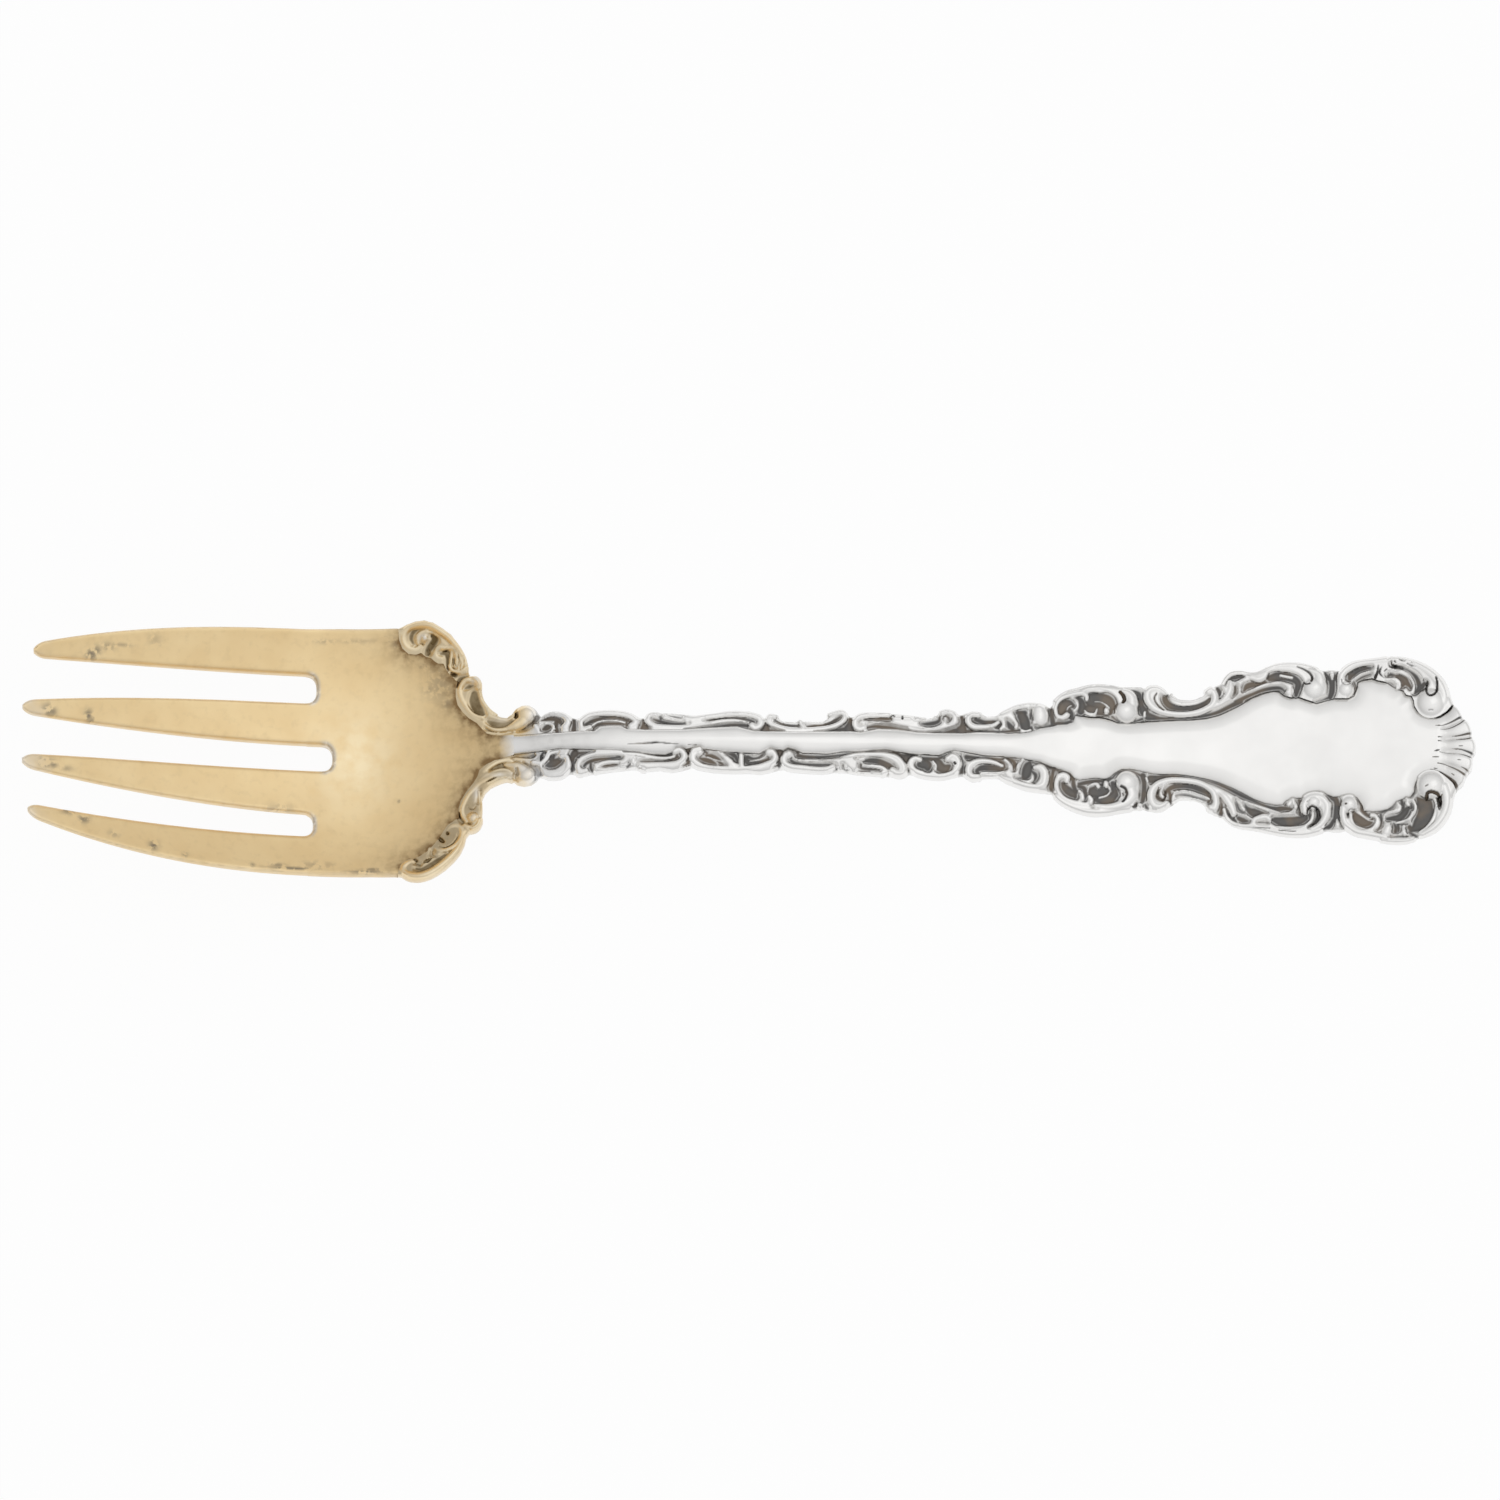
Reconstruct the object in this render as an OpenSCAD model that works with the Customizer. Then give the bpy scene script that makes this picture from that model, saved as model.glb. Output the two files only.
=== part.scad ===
// Ramekin fork: a small four-tined fork with a dished, gilt bowl, and scroll borders along its
// stem and handle that end in a shell. The real fork is struck from one blank of silver. Here
// each region of it that a silversmith names is a solid of its own, and they meet face to face.
// Millimetres. X runs from the tines to the shell, Z is up, and the fork lies on Z = 0.

/* [Lengths along the fork] */
// Tips of the inner tines to the ends of the outer slots
tine_len = 26.5; // [22:0.5:32]
// How far the tips of the outer tines stand back from those of the inner ones
outer_tip_back = 0.8; // [0:0.1:2]
// How much further the middle slot runs than the outer ones
middle_slot_extra = 1.5; // [0:0.1:3]
// Ends of the outer slots to the neck
bowl_len = 17.5; // [15:0.5:22]
// Ends of the outer slots to the widest part of the bowl's shoulder
bowl_side_len = 9; // [7:0.5:11]
// Neck to the knee, where the stem flares into the handle
stem_len = 46; // [38:0.5:56]
// Knee to the root of the shell
handle_len = 36.5; // [30:0.5:44]
// Root of the shell to its rim
shell_len = 3.5; // [2.5:0.1:5]

/* [Widths] */
// Bowl across its straight sides
bowl_w = 22.8; // [20:0.2:26]
// Bowl across its shoulders
shoulder_w = 24; // [21:0.2:27]
// Each slot at its closed end
slot_w = 2.1; // [1.6:0.1:2.6]
// Inner tines at the ends of the slots
inner_tine_w = 4; // [3.2:0.1:4.6]
// Inner tines just behind their tips
inner_tip_w = 1.55; // [1:0.05:2]
// Outer tines just behind their tips
outer_tip_w = 1.2; // [0.9:0.05:1.8]
// Gaps between the tips of the tines
tip_gap = 3.4; // [2.6:0.1:4]
// Neck, over its borders
neck_w = 4.4; // [3.6:0.1:5.4]
// Stem, over its borders
stem_w = 5.2; // [4.4:0.1:6]
// Smooth rib along the middle of the stem
rib_w = 1.9; // [1.4:0.1:2.4]
// Handle at its knee
knee_w = 12; // [9.6:0.2:13]
// Handle at its waist
waist_w = 9.2; // [7.6:0.2:10]
// Handle at its flank, past the waist
flank_w = 16; // [13:0.2:17]
// Handle at its crest, before the shell
crest_w = 17; // [15:0.2:19]
// How far the outline dips on each side between the flank and the crest
notch_depth = 0.4; // [0:0.1:1]
// Smooth panel at the knee
panel_knee_w = 6; // [4.4:0.2:7]
// Smooth panel at the waist
panel_waist_w = 5; // [3.6:0.2:5.6]
// Smooth panel at the flank
panel_flank_w = 10.2; // [8:0.2:11]
// Smooth panel at the crest
panel_crest_w = 12; // [9:0.2:13]
// How far the scroll ends push into the panel on each side, between its swells
panel_dip = 0.5; // [0:0.1:0.8]
// Shell at its root
shell_w = 8.6; // [7:0.2:10]

/* [Heights and thicknesses] */
// Underside of the tips above the table
tip_lift = 12.2; // [8:0.2:16]
// Underside of the stem above the table, where it is highest
stem_lift = 6.4; // [4:0.2:9]
// Depth of the bowl's hollow below its sides
dish_depth = 3; // [1.6:0.1:4]
// Metal at the tips of the tines
tip_t = 1.2; // [0.9:0.05:1.6]
// Metal in the bowl
bowl_t = 1.6; // [1.2:0.05:2.2]
// Metal at the middle of the stem
stem_t = 2.6; // [2:0.1:3.4]
// Metal at the middle of the handle
handle_t = 2; // [1.6:0.1:2.6]
// Metal under the stem's borders
stem_border_t = 1.7; // [1.3:0.1:2]
// Metal under the handle's borders
handle_border_t = 1.4; // [1.2:0.1:1.6]
// How far the underside curves up towards the edges of the stem and handle
belly = 0.5; // [0.2:0.05:0.9]
// Depth worn flat where the fork rests on the table
wear = 0.12; // [0.06:0.02:0.2]
// Rounding of the edges of the tines and bowl
edge_round = 0.3; // [0.1:0.05:0.45]

/* [Scrolls] */
// Widest part of a scroll on the stem
stem_scroll_w = 0.9; // [0.6:0.05:1.1]
// Widest part of a scroll on the handle
handle_scroll_w = 1.6; // [1:0.1:2]
// Widest part of a scroll on the shoulder of the bowl
bowl_scroll_w = 1.5; // [1:0.1:2]
// How far the scrolls stand proud of the border or bowl that carries them
scroll_relief = 0.6; // [0.3:0.05:0.9]
// Width of the scrolled border on the shoulder of the bowl
bowl_border_w = 2.4; // [1.8:0.1:3]
// Flutes of the shell
shell_flutes = 7; // [5:1:9]
// How far the flutes stand proud
flute_relief = 0.5; // [0.2:0.05:0.7]

/* [Hidden] */

gilt = "#dcc18a";
silver = "#c9cbcc";
dark_silver = "#7d7872";
left = 1;
right = -1;

// Stations along the fork, from the tips of the inner tines
x_slots = tine_len;
x_tine_root = x_slots - slot_w / 2;
x_shoulder = x_slots + bowl_side_len;
x_neck = x_slots + bowl_len;
x_knee = x_neck + stem_len;
x_shell = x_knee + handle_len;
fork_len = x_shell + shell_len;
// The bowl is lowest, the stem highest and the handle flat at these stations
x_low = x_slots + bowl_len / 4;
x_high = x_neck + stem_len / 5;
x_flat = x_shell - handle_len / 4;
// Swells and hollows of the handle's outline, and of its panel, as shares of its length
at_knee = 0.17;
at_waist = 0.41;
at_flank = 0.7;
at_notch = 0.81;
at_crest = 0.9;
panel_at_knee = 0.14;
panel_at_knee_end = 0.25;
panel_at_waist = 0.41;
panel_at_flank = 0.61;
panel_at_notch = 0.78;
panel_at_crest = 0.87;
x_crest = x_knee + at_crest * handle_len;
// The end of the handle is a quarter round that dies into the side of the shell
corner_len = x_shell - x_crest + 0.7 * shell_len;
lip = 0.35;
// The sides of the shell run straight for this length before its rim rounds over
shell_side = shell_len / 7;

// Spacing of the outer slots from the middle one, at the ends of the slots
slot_pitch = slot_w + inner_tine_w;
// Edges of the left tines, counted outwards from the middle slot, at their roots and tips
root_edges = [slot_w / 2, slot_pitch - slot_w / 2, slot_pitch + slot_w / 2, bowl_w / 2];
tip_edges = [
  tip_gap / 2,
  tip_gap / 2 + inner_tip_w,
  tip_gap * 1.5 + inner_tip_w,
  tip_gap * 1.5 + inner_tip_w + outer_tip_w
];
// How late each edge turns in towards the tip
edge_turn = [2, 1.75, 3, 2.2];
// Length over which a tip rounds off, and how blunt it ends
tip_round = 1.1;
tip_blunt = 0.35;

function ease(u) = let(c = min(max(u, 0), 1)) c * c * (3 - 2 * c);
function mix(a, b, u) = a + (b - a) * u;
function between(a, b, x) = mix(a[1], b[1], ease((x - a[0]) / (b[0] - a[0])));
// A smooth line through stations that are each a swell or a hollow
function swell(st, x, i = 0) =
  i >= len(st) - 2 || x <= st[i + 1][0] ? between(st[i], st[i + 1], x) : swell(st, x, i + 1);

// Height of the underside along the middle of the fork
function sole(x) =
  x < x_low ? tip_lift * pow((x_low - x) / x_low, 1.45)
  : x < x_high ? stem_lift * ease((x - x_low) / (x_high - x_low))
  : stem_lift * (1 - ease((x - x_high) / (x_flat - x_high)));
// Metal at the middle of the fork
thickness_stations = [
  [0, tip_t], [x_low, bowl_t], [x_neck, stem_t], [x_knee - stem_len / 8, stem_t],
  [x_knee + handle_len / 3, handle_t], [fork_len, handle_t]
];
function thickness(x) = swell(thickness_stations, x);
function border_t(x) = mix(stem_border_t, handle_border_t, ease((x - x_knee) / (handle_len / 3)));
// Sideways curve of the bowl and tines, which fades out along the neck
function dish(x, y) =
  dish_depth * pow(y / (bowl_w / 2), 2) * (1 - ease((x - x_neck) / (stem_len / 10)));
function bowl_top(x, y) = sole(x) + dish(x, y) + thickness(x);
function bowl_under(x, y) = sole(x) + dish(x, y) - wear;
// Half width of the bowl, which is straight at first and flares a little at its shoulders
bowl_outline = [
  [x_slots + bowl_side_len * 0.7, bowl_w / 2], [x_shoulder, shoulder_w / 2], [x_neck, neck_w / 2]
];
function bowl_half(x) = swell(bowl_outline, x);

// Half widths of the stem and handle over their borders, and of the smooth panel between them
outline = [
  [x_neck, neck_w / 2], [x_neck + stem_len / 8, stem_w / 2], [x_knee - stem_len / 20, stem_w / 2],
  [x_knee + at_knee * handle_len, knee_w / 2], [x_knee + at_waist * handle_len, waist_w / 2],
  [x_knee + at_flank * handle_len, flank_w / 2],
  [x_knee + at_notch * handle_len, flank_w / 2 - notch_depth], [x_crest, crest_w / 2]
];
panel = [
  [x_neck, rib_w / 2], [x_knee - stem_len / 20, rib_w / 2],
  [x_knee + panel_at_knee * handle_len, panel_knee_w / 2],
  [x_knee + panel_at_knee_end * handle_len, panel_waist_w / 2 - panel_dip / 2],
  [x_knee + panel_at_waist * handle_len, panel_waist_w / 2],
  [x_knee + panel_at_flank * handle_len, panel_flank_w / 2],
  [x_knee + panel_at_notch * handle_len, panel_flank_w / 2 - panel_dip],
  [x_knee + panel_at_crest * handle_len, panel_crest_w / 2], [x_shell, shell_w / 2]
];
function round_end(x, from, length) = sqrt(max(0, 1 - pow((x - from) / length, 2)));
function panel_half(x) = swell(panel, x);
function inner_half(x) =
  x <= x_shell ? panel_half(x)
  : shell_w / 2 * round_end(max(x, x_shell + shell_side), x_shell + shell_side, shell_len - shell_side);
function outer_half(x) = max(
  inner_half(x) + lip,
  x <= x_crest ? swell(outline, x) : crest_w / 2 * round_end(x, x_crest, corner_len)
);
function border_top(x) = sole(x) + border_t(x);
function panel_top(x, y) =
  mix(border_top(x), sole(x) + thickness(x), 1 - pow(y / inner_half(x), 2));
function stem_under(x, y) = sole(x) + belly * pow(y / outer_half(x), 2) - wear;

// A closed solid between a top and an underside, each a grid of points with rows along X
module slab(top, under) {
  rows = len(top);
  cols = len(top[0]);
  shift = rows * cols;
  function id(i, j) = i * cols + j;
  function quad(a, b, c, d) = [[a, b, c], [a, c, d]];
  polyhedron(
    points = [for (grid = [top, under]) for (row = grid) each row],
    faces = [
      for (i = [0 : rows - 2]) for (j = [0 : cols - 2]) each concat(
        quad(id(i, j), id(i, j + 1), id(i + 1, j + 1), id(i + 1, j)),
        quad(shift + id(i, j), shift + id(i + 1, j), shift + id(i + 1, j + 1), shift + id(i, j + 1))
      ),
      for (i = [0 : rows - 2]) each concat(
        quad(shift + id(i, 0), id(i, 0), id(i + 1, 0), shift + id(i + 1, 0)),
        quad(shift + id(i + 1, cols - 1), id(i + 1, cols - 1), id(i, cols - 1), shift + id(i, cols - 1))
      ),
      for (j = [0 : cols - 2]) each concat(
        quad(shift + id(0, j + 1), id(0, j + 1), id(0, j), shift + id(0, j)),
        quad(shift + id(rows - 1, j), id(rows - 1, j), id(rows - 1, j + 1), shift + id(rows - 1, j + 1))
      )
    ],
    convexity = 6
  );
}

// Moves a piece drawn on the stations to the frame of the fork
module place() {
  translate([-fork_len / 2, 0, 0]) children();
}

// Everything below the table, which the worn flats are cut by
module table() {
  translate([-1, -bowl_w, -2 * bowl_t]) cube([fork_len + 2, 2 * bowl_w, 2 * bowl_t]);
}

// Places across a tine or bowl, closer together at the rounded edges
across_tine = [0, 0.12, 0.5, 0.88, 1];
across_bowl = [0, 0.025, 0.1, 0.2, 0.3, 0.4, 0.5, 0.6, 0.7, 0.8, 0.9, 0.975, 1];
function is_edge(v) = v == 0 || v == 1 ? 1 : 0;

function tine_edge(k, x) =
  mix(root_edges[k], tip_edges[k], pow((x_tine_root - x) / x_tine_root, edge_turn[k]));
// One tine between two of the edges, on one side of the fork
module tine(inner_edge, x_tip, side) {
  rows = 22;
  length = x_tine_root - x_tip;
  xs = [for (i = [0 : rows]) x_tip + length * pow(i / rows, 1.6)];
  function blunt(x) = let(u = min(1, (x - x_tip) / tip_round)) max(tip_blunt, sqrt(u * (2 - u)));
  function y_at(x, v) =
    let(a = tine_edge(inner_edge, x), b = tine_edge(inner_edge + 1, x))
    side * mix((a + b) / 2, side > 0 ? mix(a, b, v) : mix(b, a, v), blunt(x));
  top = [for (x = xs) [for (v = across_tine)
    let(y = y_at(x, v)) [x, y, bowl_top(x, y) - edge_round * is_edge(v)]]];
  under = [for (x = xs) [for (v = across_tine)
    let(y = y_at(x, v)) [x, y, bowl_under(x, y) + wear + edge_round * is_edge(v)]]];
  color(gilt) place() slab(top, under);
}
module outer_left_tine() { tine(2, outer_tip_back, left); }
module inner_left_tine() { tine(0, 0, left); }
module inner_right_tine() { tine(0, 0, right); }
module outer_right_tine() { tine(2, outer_tip_back, right); }

// The dished bowl, from the roots of the tines to the neck, with the rounded ends of the slots
module bowl() {
  rows = 24;
  xs = [for (i = [0 : rows]) mix(x_tine_root, x_neck, i / rows)];
  function y_at(x, v) = bowl_half(x) * (2 * v - 1);
  top = [for (x = xs) [for (v = across_bowl)
    let(y = y_at(x, v)) [x, y, bowl_top(x, y) - edge_round * is_edge(v)]]];
  under = [for (x = xs) [for (v = across_bowl)
    let(y = y_at(x, v)) [x, y, bowl_under(x, y) + edge_round * is_edge(v)]]];
  tall = tip_lift + stem_lift;
  color(gilt) place() difference() {
    slab(top, under);
    for (y = [-slot_pitch, slot_pitch])
      translate([x_tine_root, y, -tall / 2]) cylinder(d = slot_w, h = tall, $fn = 48);
    translate([x_tine_root + middle_slot_extra, 0, -tall / 2]) cylinder(d = slot_w, h = tall, $fn = 48);
    translate([x_tine_root - 1, -slot_w / 2, -tall / 2]) cube([middle_slot_extra + 1, slot_w, tall]);
    table();
  }
}

// A strip of the stem or handle between two half widths, given as functions of the station
module strip(x_from, x_to, rows, cols, inner, outer, side, top_at) {
  xs = [for (i = [0 : rows]) mix(x_from, x_to, i / rows)];
  function y_at(x, v) = side > 0 ? mix(inner(x), outer(x), v) : -mix(outer(x), inner(x), v);
  top = [for (x = xs) [for (j = [0 : cols]) let(y = y_at(x, j / cols)) [x, y, top_at(x, y)]]];
  under = [for (x = xs) [for (j = [0 : cols]) let(y = y_at(x, j / cols)) [x, y, stem_under(x, y)]]];
  difference() {
    slab(top, under);
    table();
  }
}

module stem_rib() {
  color(silver) place()
    strip(x_neck, x_knee, 32, 6, function(x) -panel_half(x), function(x) panel_half(x), left,
      function(x, y) panel_top(x, y));
}
module handle_panel() {
  color(silver) place()
    strip(x_knee, x_shell, 40, 8, function(x) -panel_half(x), function(x) panel_half(x), left,
      function(x, y) panel_top(x, y));
}

// The sunk ground of a border, on which its scrolls stand
module border(x_from, x_to, rows, side) {
  color(dark_silver) place()
    strip(x_from, x_to, rows, 2, function(x) inner_half(x), function(x) outer_half(x), side,
      function(x, y) border_top(x));
}
x_border_end = x_shell + 0.45 * shell_len;
module left_stem_border() { border(x_neck, x_knee, 32, left); }
module right_stem_border() { border(x_neck, x_knee, 32, right); }
module left_handle_border() { border(x_knee, x_border_end, 44, left); }
module right_handle_border() { border(x_knee, x_border_end, 44, right); }

// Rings of a scroll along its arch, and how wide it is at each: knobs at both ends
scroll_at = [0, 0.04, 0.1, 0.18, 0.28, 0.39, 0.5, 0.61, 0.72, 0.82, 0.9, 0.96, 1];
scroll_swell = [0.4, 0.9, 1, 0.8, 0.62, 0.66, 0.72, 0.66, 0.62, 0.8, 1, 0.9, 0.4];
ring_turns = [0, 45, 90, 135, 180];

// One scroll: a half-round bead that arches across a border between two stations. It starts and
// ends at the share v_end of the border's width, and its back is at the share v_back.
module scroll(x_from, x_to, v_end, v_back, width, side, inner, outer, ground) {
  count = len(scroll_at);
  sides = len(ring_turns);
  function at(t) =
    let(x = mix(x_from, x_to, t), v = mix(v_end, v_back, sin(180 * t)))
    [x, side * mix(inner(x), outer(x), v)];
  function square(t) = let(d = at(t + 0.01) - at(t - 0.01)) [-d[1], d[0]] / norm(d);
  points = [for (i = [0 : count - 1]) for (turn = ring_turns)
    let(
      grow = scroll_swell[i],
      p = at(scroll_at[i]) + square(scroll_at[i]) * width / 2 * grow * cos(turn)
    )
    [p[0], p[1], ground(p[0], p[1]) + scroll_relief * grow * sin(turn)]];
  function id(i, k) = i * sides + k % sides;
  polyhedron(
    points = points,
    faces = [
      [for (k = [0 : sides - 1]) id(0, k)],
      for (i = [0 : count - 2]) for (k = [0 : sides - 1]) each [
        [id(i, k), id(i + 1, k + 1), id(i, k + 1)],
        [id(i, k), id(i + 1, k), id(i + 1, k + 1)]
      ],
      [for (k = [sides - 1 : -1 : 0]) id(count - 1, k)]
    ],
    convexity = 6
  );
}

// Scrolls of a border as shares of its length: start, end, and 1 where the back faces outwards
left_stem_layout = [
  [0.05, 0.115, 1], [0.125, 0.245, 1], [0.255, 0.36, 0], [0.37, 0.485, 1],
  [0.495, 0.65, 0], [0.66, 0.765, 1], [0.775, 0.865, 0], [0.875, 0.965, 0]
];
right_stem_layout = [
  [0.05, 0.11, 1], [0.12, 0.23, 0], [0.24, 0.335, 1], [0.345, 0.51, 1],
  [0.52, 0.635, 1], [0.645, 0.755, 0], [0.765, 0.865, 1], [0.875, 0.96, 0]
];
knee_layout = [[-0.02, 0.045, 1], [0.075, 0.145, 1], [0.17, 0.27, 1]];
waist_layout = [[0.285, 0.465, 0]];
flank_layout = [[0.48, 0.73, 1]];
crest_layout = [[0.745, 0.86, 1], [0.89, 1.02, 1]];

widest_share = 0.6;
module border_scrolls(layout, x_from, length, width, side) {
  color(silver) place() for (s = layout) {
    x_middle = x_from + length * (s[0] + s[1]) / 2;
    room = outer_half(x_middle) - inner_half(x_middle);
    // A scroll is no wider than its border allows, and its edge meets the edges of the border
    scroll_w = min(width, widest_share * room);
    near = scroll_w / 2 / room;
    scroll(x_from + length * s[0], x_from + length * s[1],
      s[2] == 1 ? near : 1 - near, s[2] == 1 ? 1 - near : near, scroll_w, side,
      function(x) inner_half(x), function(x) outer_half(x), function(x, y) border_top(x));
  }
}
module left_stem_scrolls() { border_scrolls(left_stem_layout, x_neck, stem_len, stem_scroll_w, left); }
module right_stem_scrolls() { border_scrolls(right_stem_layout, x_neck, stem_len, stem_scroll_w, right); }
module handle_scrolls(layout, side) { border_scrolls(layout, x_knee, handle_len, handle_scroll_w, side); }
module left_knee_scrolls() { handle_scrolls(knee_layout, left); }
module right_knee_scrolls() { handle_scrolls(knee_layout, right); }
module left_waist_scrolls() { handle_scrolls(waist_layout, left); }
module right_waist_scrolls() { handle_scrolls(waist_layout, right); }
module left_flank_scrolls() { handle_scrolls(flank_layout, left); }
module right_flank_scrolls() { handle_scrolls(flank_layout, right); }
module left_crest_scrolls() { handle_scrolls(crest_layout, left); }
module right_crest_scrolls() { handle_scrolls(crest_layout, right); }

// Shares of the way from the widest part of the shoulder to the neck
bowl_layout = [[-0.42, 0.3, 1], [0.42, 0.85, 0]];
module bowl_scrolls(side) {
  length = x_neck - x_shoulder;
  near = 0.5 * bowl_scroll_w / bowl_border_w;
  color(gilt) place() for (s = bowl_layout)
    scroll(x_shoulder + length * s[0], x_shoulder + length * s[1],
      s[2] == 1 ? near : 1 - near, s[2] == 1 ? 1 - near : near, bowl_scroll_w, side,
      function(x) bowl_half(x) - bowl_border_w, function(x) bowl_half(x), function(x, y) bowl_top(x, y));
}
module left_bowl_scrolls() { bowl_scrolls(left); }
module right_bowl_scrolls() { bowl_scrolls(right); }

// The shell: flutes that fan out from the end of the panel to a lobed rim
module shell() {
  per_flute = 5;
  cols = shell_flutes * per_flute;
  rows = 5;
  lobe = 0.06;
  function wave(j) = abs(sin(180 * j / per_flute));
  function at(i, j) =
    let(
      u = i / rows,
      spread = 2 * j / cols - 1,
      reach = 1 - lobe * (1 - wave(j))
    )
    [
      x_shell + u * (shell_side + (shell_len - shell_side) * reach * cos(90 * spread)),
      shell_w / 2 * mix(spread, sin(90 * spread), u)
    ];
  top = [for (i = [0 : rows]) [for (j = [0 : cols])
    let(p = at(i, j)) [p[0], p[1], border_top(p[0]) + flute_relief * wave(j) * (0.4 + 0.6 * i / rows)]]];
  under = [for (i = [0 : rows]) [for (j = [0 : cols]) let(p = at(i, j)) [p[0], p[1], 0]]];
  color(silver) place() slab(top, under);
}

outer_left_tine();
inner_left_tine();
inner_right_tine();
outer_right_tine();
bowl();
left_bowl_scrolls();
right_bowl_scrolls();
stem_rib();
left_stem_border();
right_stem_border();
left_stem_scrolls();
right_stem_scrolls();
handle_panel();
left_handle_border();
right_handle_border();
left_knee_scrolls();
right_knee_scrolls();
left_waist_scrolls();
right_waist_scrolls();
left_flank_scrolls();
right_flank_scrolls();
left_crest_scrolls();
right_crest_scrolls();
shell();
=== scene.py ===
import math

import bpy
import numpy as np
from mathutils import Matrix, Vector


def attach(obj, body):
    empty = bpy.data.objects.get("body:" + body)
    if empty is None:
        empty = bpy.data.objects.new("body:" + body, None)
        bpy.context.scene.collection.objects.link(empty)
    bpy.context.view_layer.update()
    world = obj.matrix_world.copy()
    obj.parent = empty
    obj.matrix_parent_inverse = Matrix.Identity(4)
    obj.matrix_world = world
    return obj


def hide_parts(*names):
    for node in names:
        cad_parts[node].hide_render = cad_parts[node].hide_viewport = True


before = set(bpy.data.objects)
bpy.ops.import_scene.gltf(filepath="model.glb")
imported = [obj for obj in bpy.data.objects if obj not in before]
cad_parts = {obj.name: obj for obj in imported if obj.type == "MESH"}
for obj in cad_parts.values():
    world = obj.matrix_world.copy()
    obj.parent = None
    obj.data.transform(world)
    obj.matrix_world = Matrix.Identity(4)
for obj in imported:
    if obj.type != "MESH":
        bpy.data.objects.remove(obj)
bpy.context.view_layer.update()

# Four tines. They are cut out of the same struck piece of silver as the bowl, filed to a taper with
# soft edges, bent up towards their tips and washed with gold. Lengths are millimetres in the frame
# of the fork, and a station is the distance from the tips of the inner tines.
fork_len, tine_len, bowl_len, stem_len, handle_len = 130.0, 26.5, 17.5, 46.0, 36.5
bowl_w, slot_w, inner_tine_w = 22.8, 2.1, 4.0
tip_lift, tip_sweep, stem_lift, dish_depth = 12.2, 1.45, 6.4, 3.0
tip_t, bowl_t, stem_t, handle_t = 1.2, 1.6, 2.6, 2.0
station_slots = tine_len
station_root = station_slots - slot_w / 2
station_neck = station_slots + bowl_len
station_knee = station_neck + stem_len
station_shell = station_knee + handle_len
station_low = station_slots + bowl_len / 4
station_high = station_neck + stem_len / 5
station_flat = station_shell - handle_len / 4
slot_pitch = slot_w + inner_tine_w


def ease(share):
    """A share between 0 and 1 that starts and ends gently."""
    share = np.clip(share, 0, 1)
    return share * share * (3 - 2 * share)


def swell(stations, x):
    """A smooth line through stations that are each a swell or a hollow."""
    line = np.full(np.shape(x), float(stations[0][1]))
    for (xa, ya), (xb, yb) in zip(stations, stations[1:]):
        line = np.where(x >= xa, ya + (yb - ya) * ease((x - xa) / (xb - xa)), line)
    return line


def sole(x):
    """Height of the underside along the middle of the fork."""
    rise = np.clip((station_low - x) / station_low, 0, None) ** tip_sweep * tip_lift
    climb = stem_lift * ease((x - station_low) / (station_high - station_low))
    fall = stem_lift * (1 - ease((x - station_high) / (station_flat - station_high)))
    return np.where(x < station_low, rise, np.where(x < station_high, climb, fall))


def thickness(x):
    """Thickness of the metal along the fork."""
    return swell([
        (0, tip_t), (station_low, bowl_t), (station_neck, stem_t), (station_knee - stem_len / 8, stem_t),
        (station_knee + handle_len / 3, handle_t), (fork_len, handle_t)], x)


def dish(x, y):
    """Rise of the bowl towards its sides, which dies out at the stem."""
    return dish_depth * (y / (bowl_w / 2)) ** 2 * (1 - ease((x - station_neck) / (stem_len / 10)))


def bowl_top(px, py):
    """Height of the upper face of the tines and the bowl."""
    x = px + fork_len / 2
    return sole(x) + dish(x, py) + thickness(x)


def depth_inside(outline, px, py):
    """Distance of each point to a closed outline, positive inside it."""
    batch, tiny = 20000, 1e-12
    a = np.array(outline, float)
    b = np.roll(a, -1, axis=0)
    along = b - a
    squares = (along ** 2).sum(1).clip(tiny)
    rise = np.where(along[:, 1] == 0, tiny, along[:, 1])
    depth = np.empty(px.shape)
    for start in range(0, px.size, batch):
        part = slice(start, start + batch)
        x, y = px[part, None], py[part, None]
        share = (((x - a[:, 0]) * along[:, 0] + (y - a[:, 1]) * along[:, 1]) / squares).clip(0, 1)
        away = np.hypot(x - a[:, 0] - share * along[:, 0], y - a[:, 1] - share * along[:, 1]).min(1)
        over = (a[:, 1] > y) != (b[:, 1] > y)
        cross = (over & (x < a[:, 0] + (y - a[:, 1]) * along[:, 0] / rise)).sum(1)
        depth[part] = np.where(cross % 2 == 1, away, -away)
    return depth


def rounded(depth, radius):
    """How far a face drops towards an edge that is rounded over."""
    near = np.clip(radius - depth, 0, radius)
    return radius - np.sqrt(np.clip(radius ** 2 - near ** 2, 0, None))


# The gap in metres over which the two faces weld along the rim, and the angle that stays crisp
weld, crisp_angle = 1e-7, math.radians(50)
mm_per_m = 1000


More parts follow.
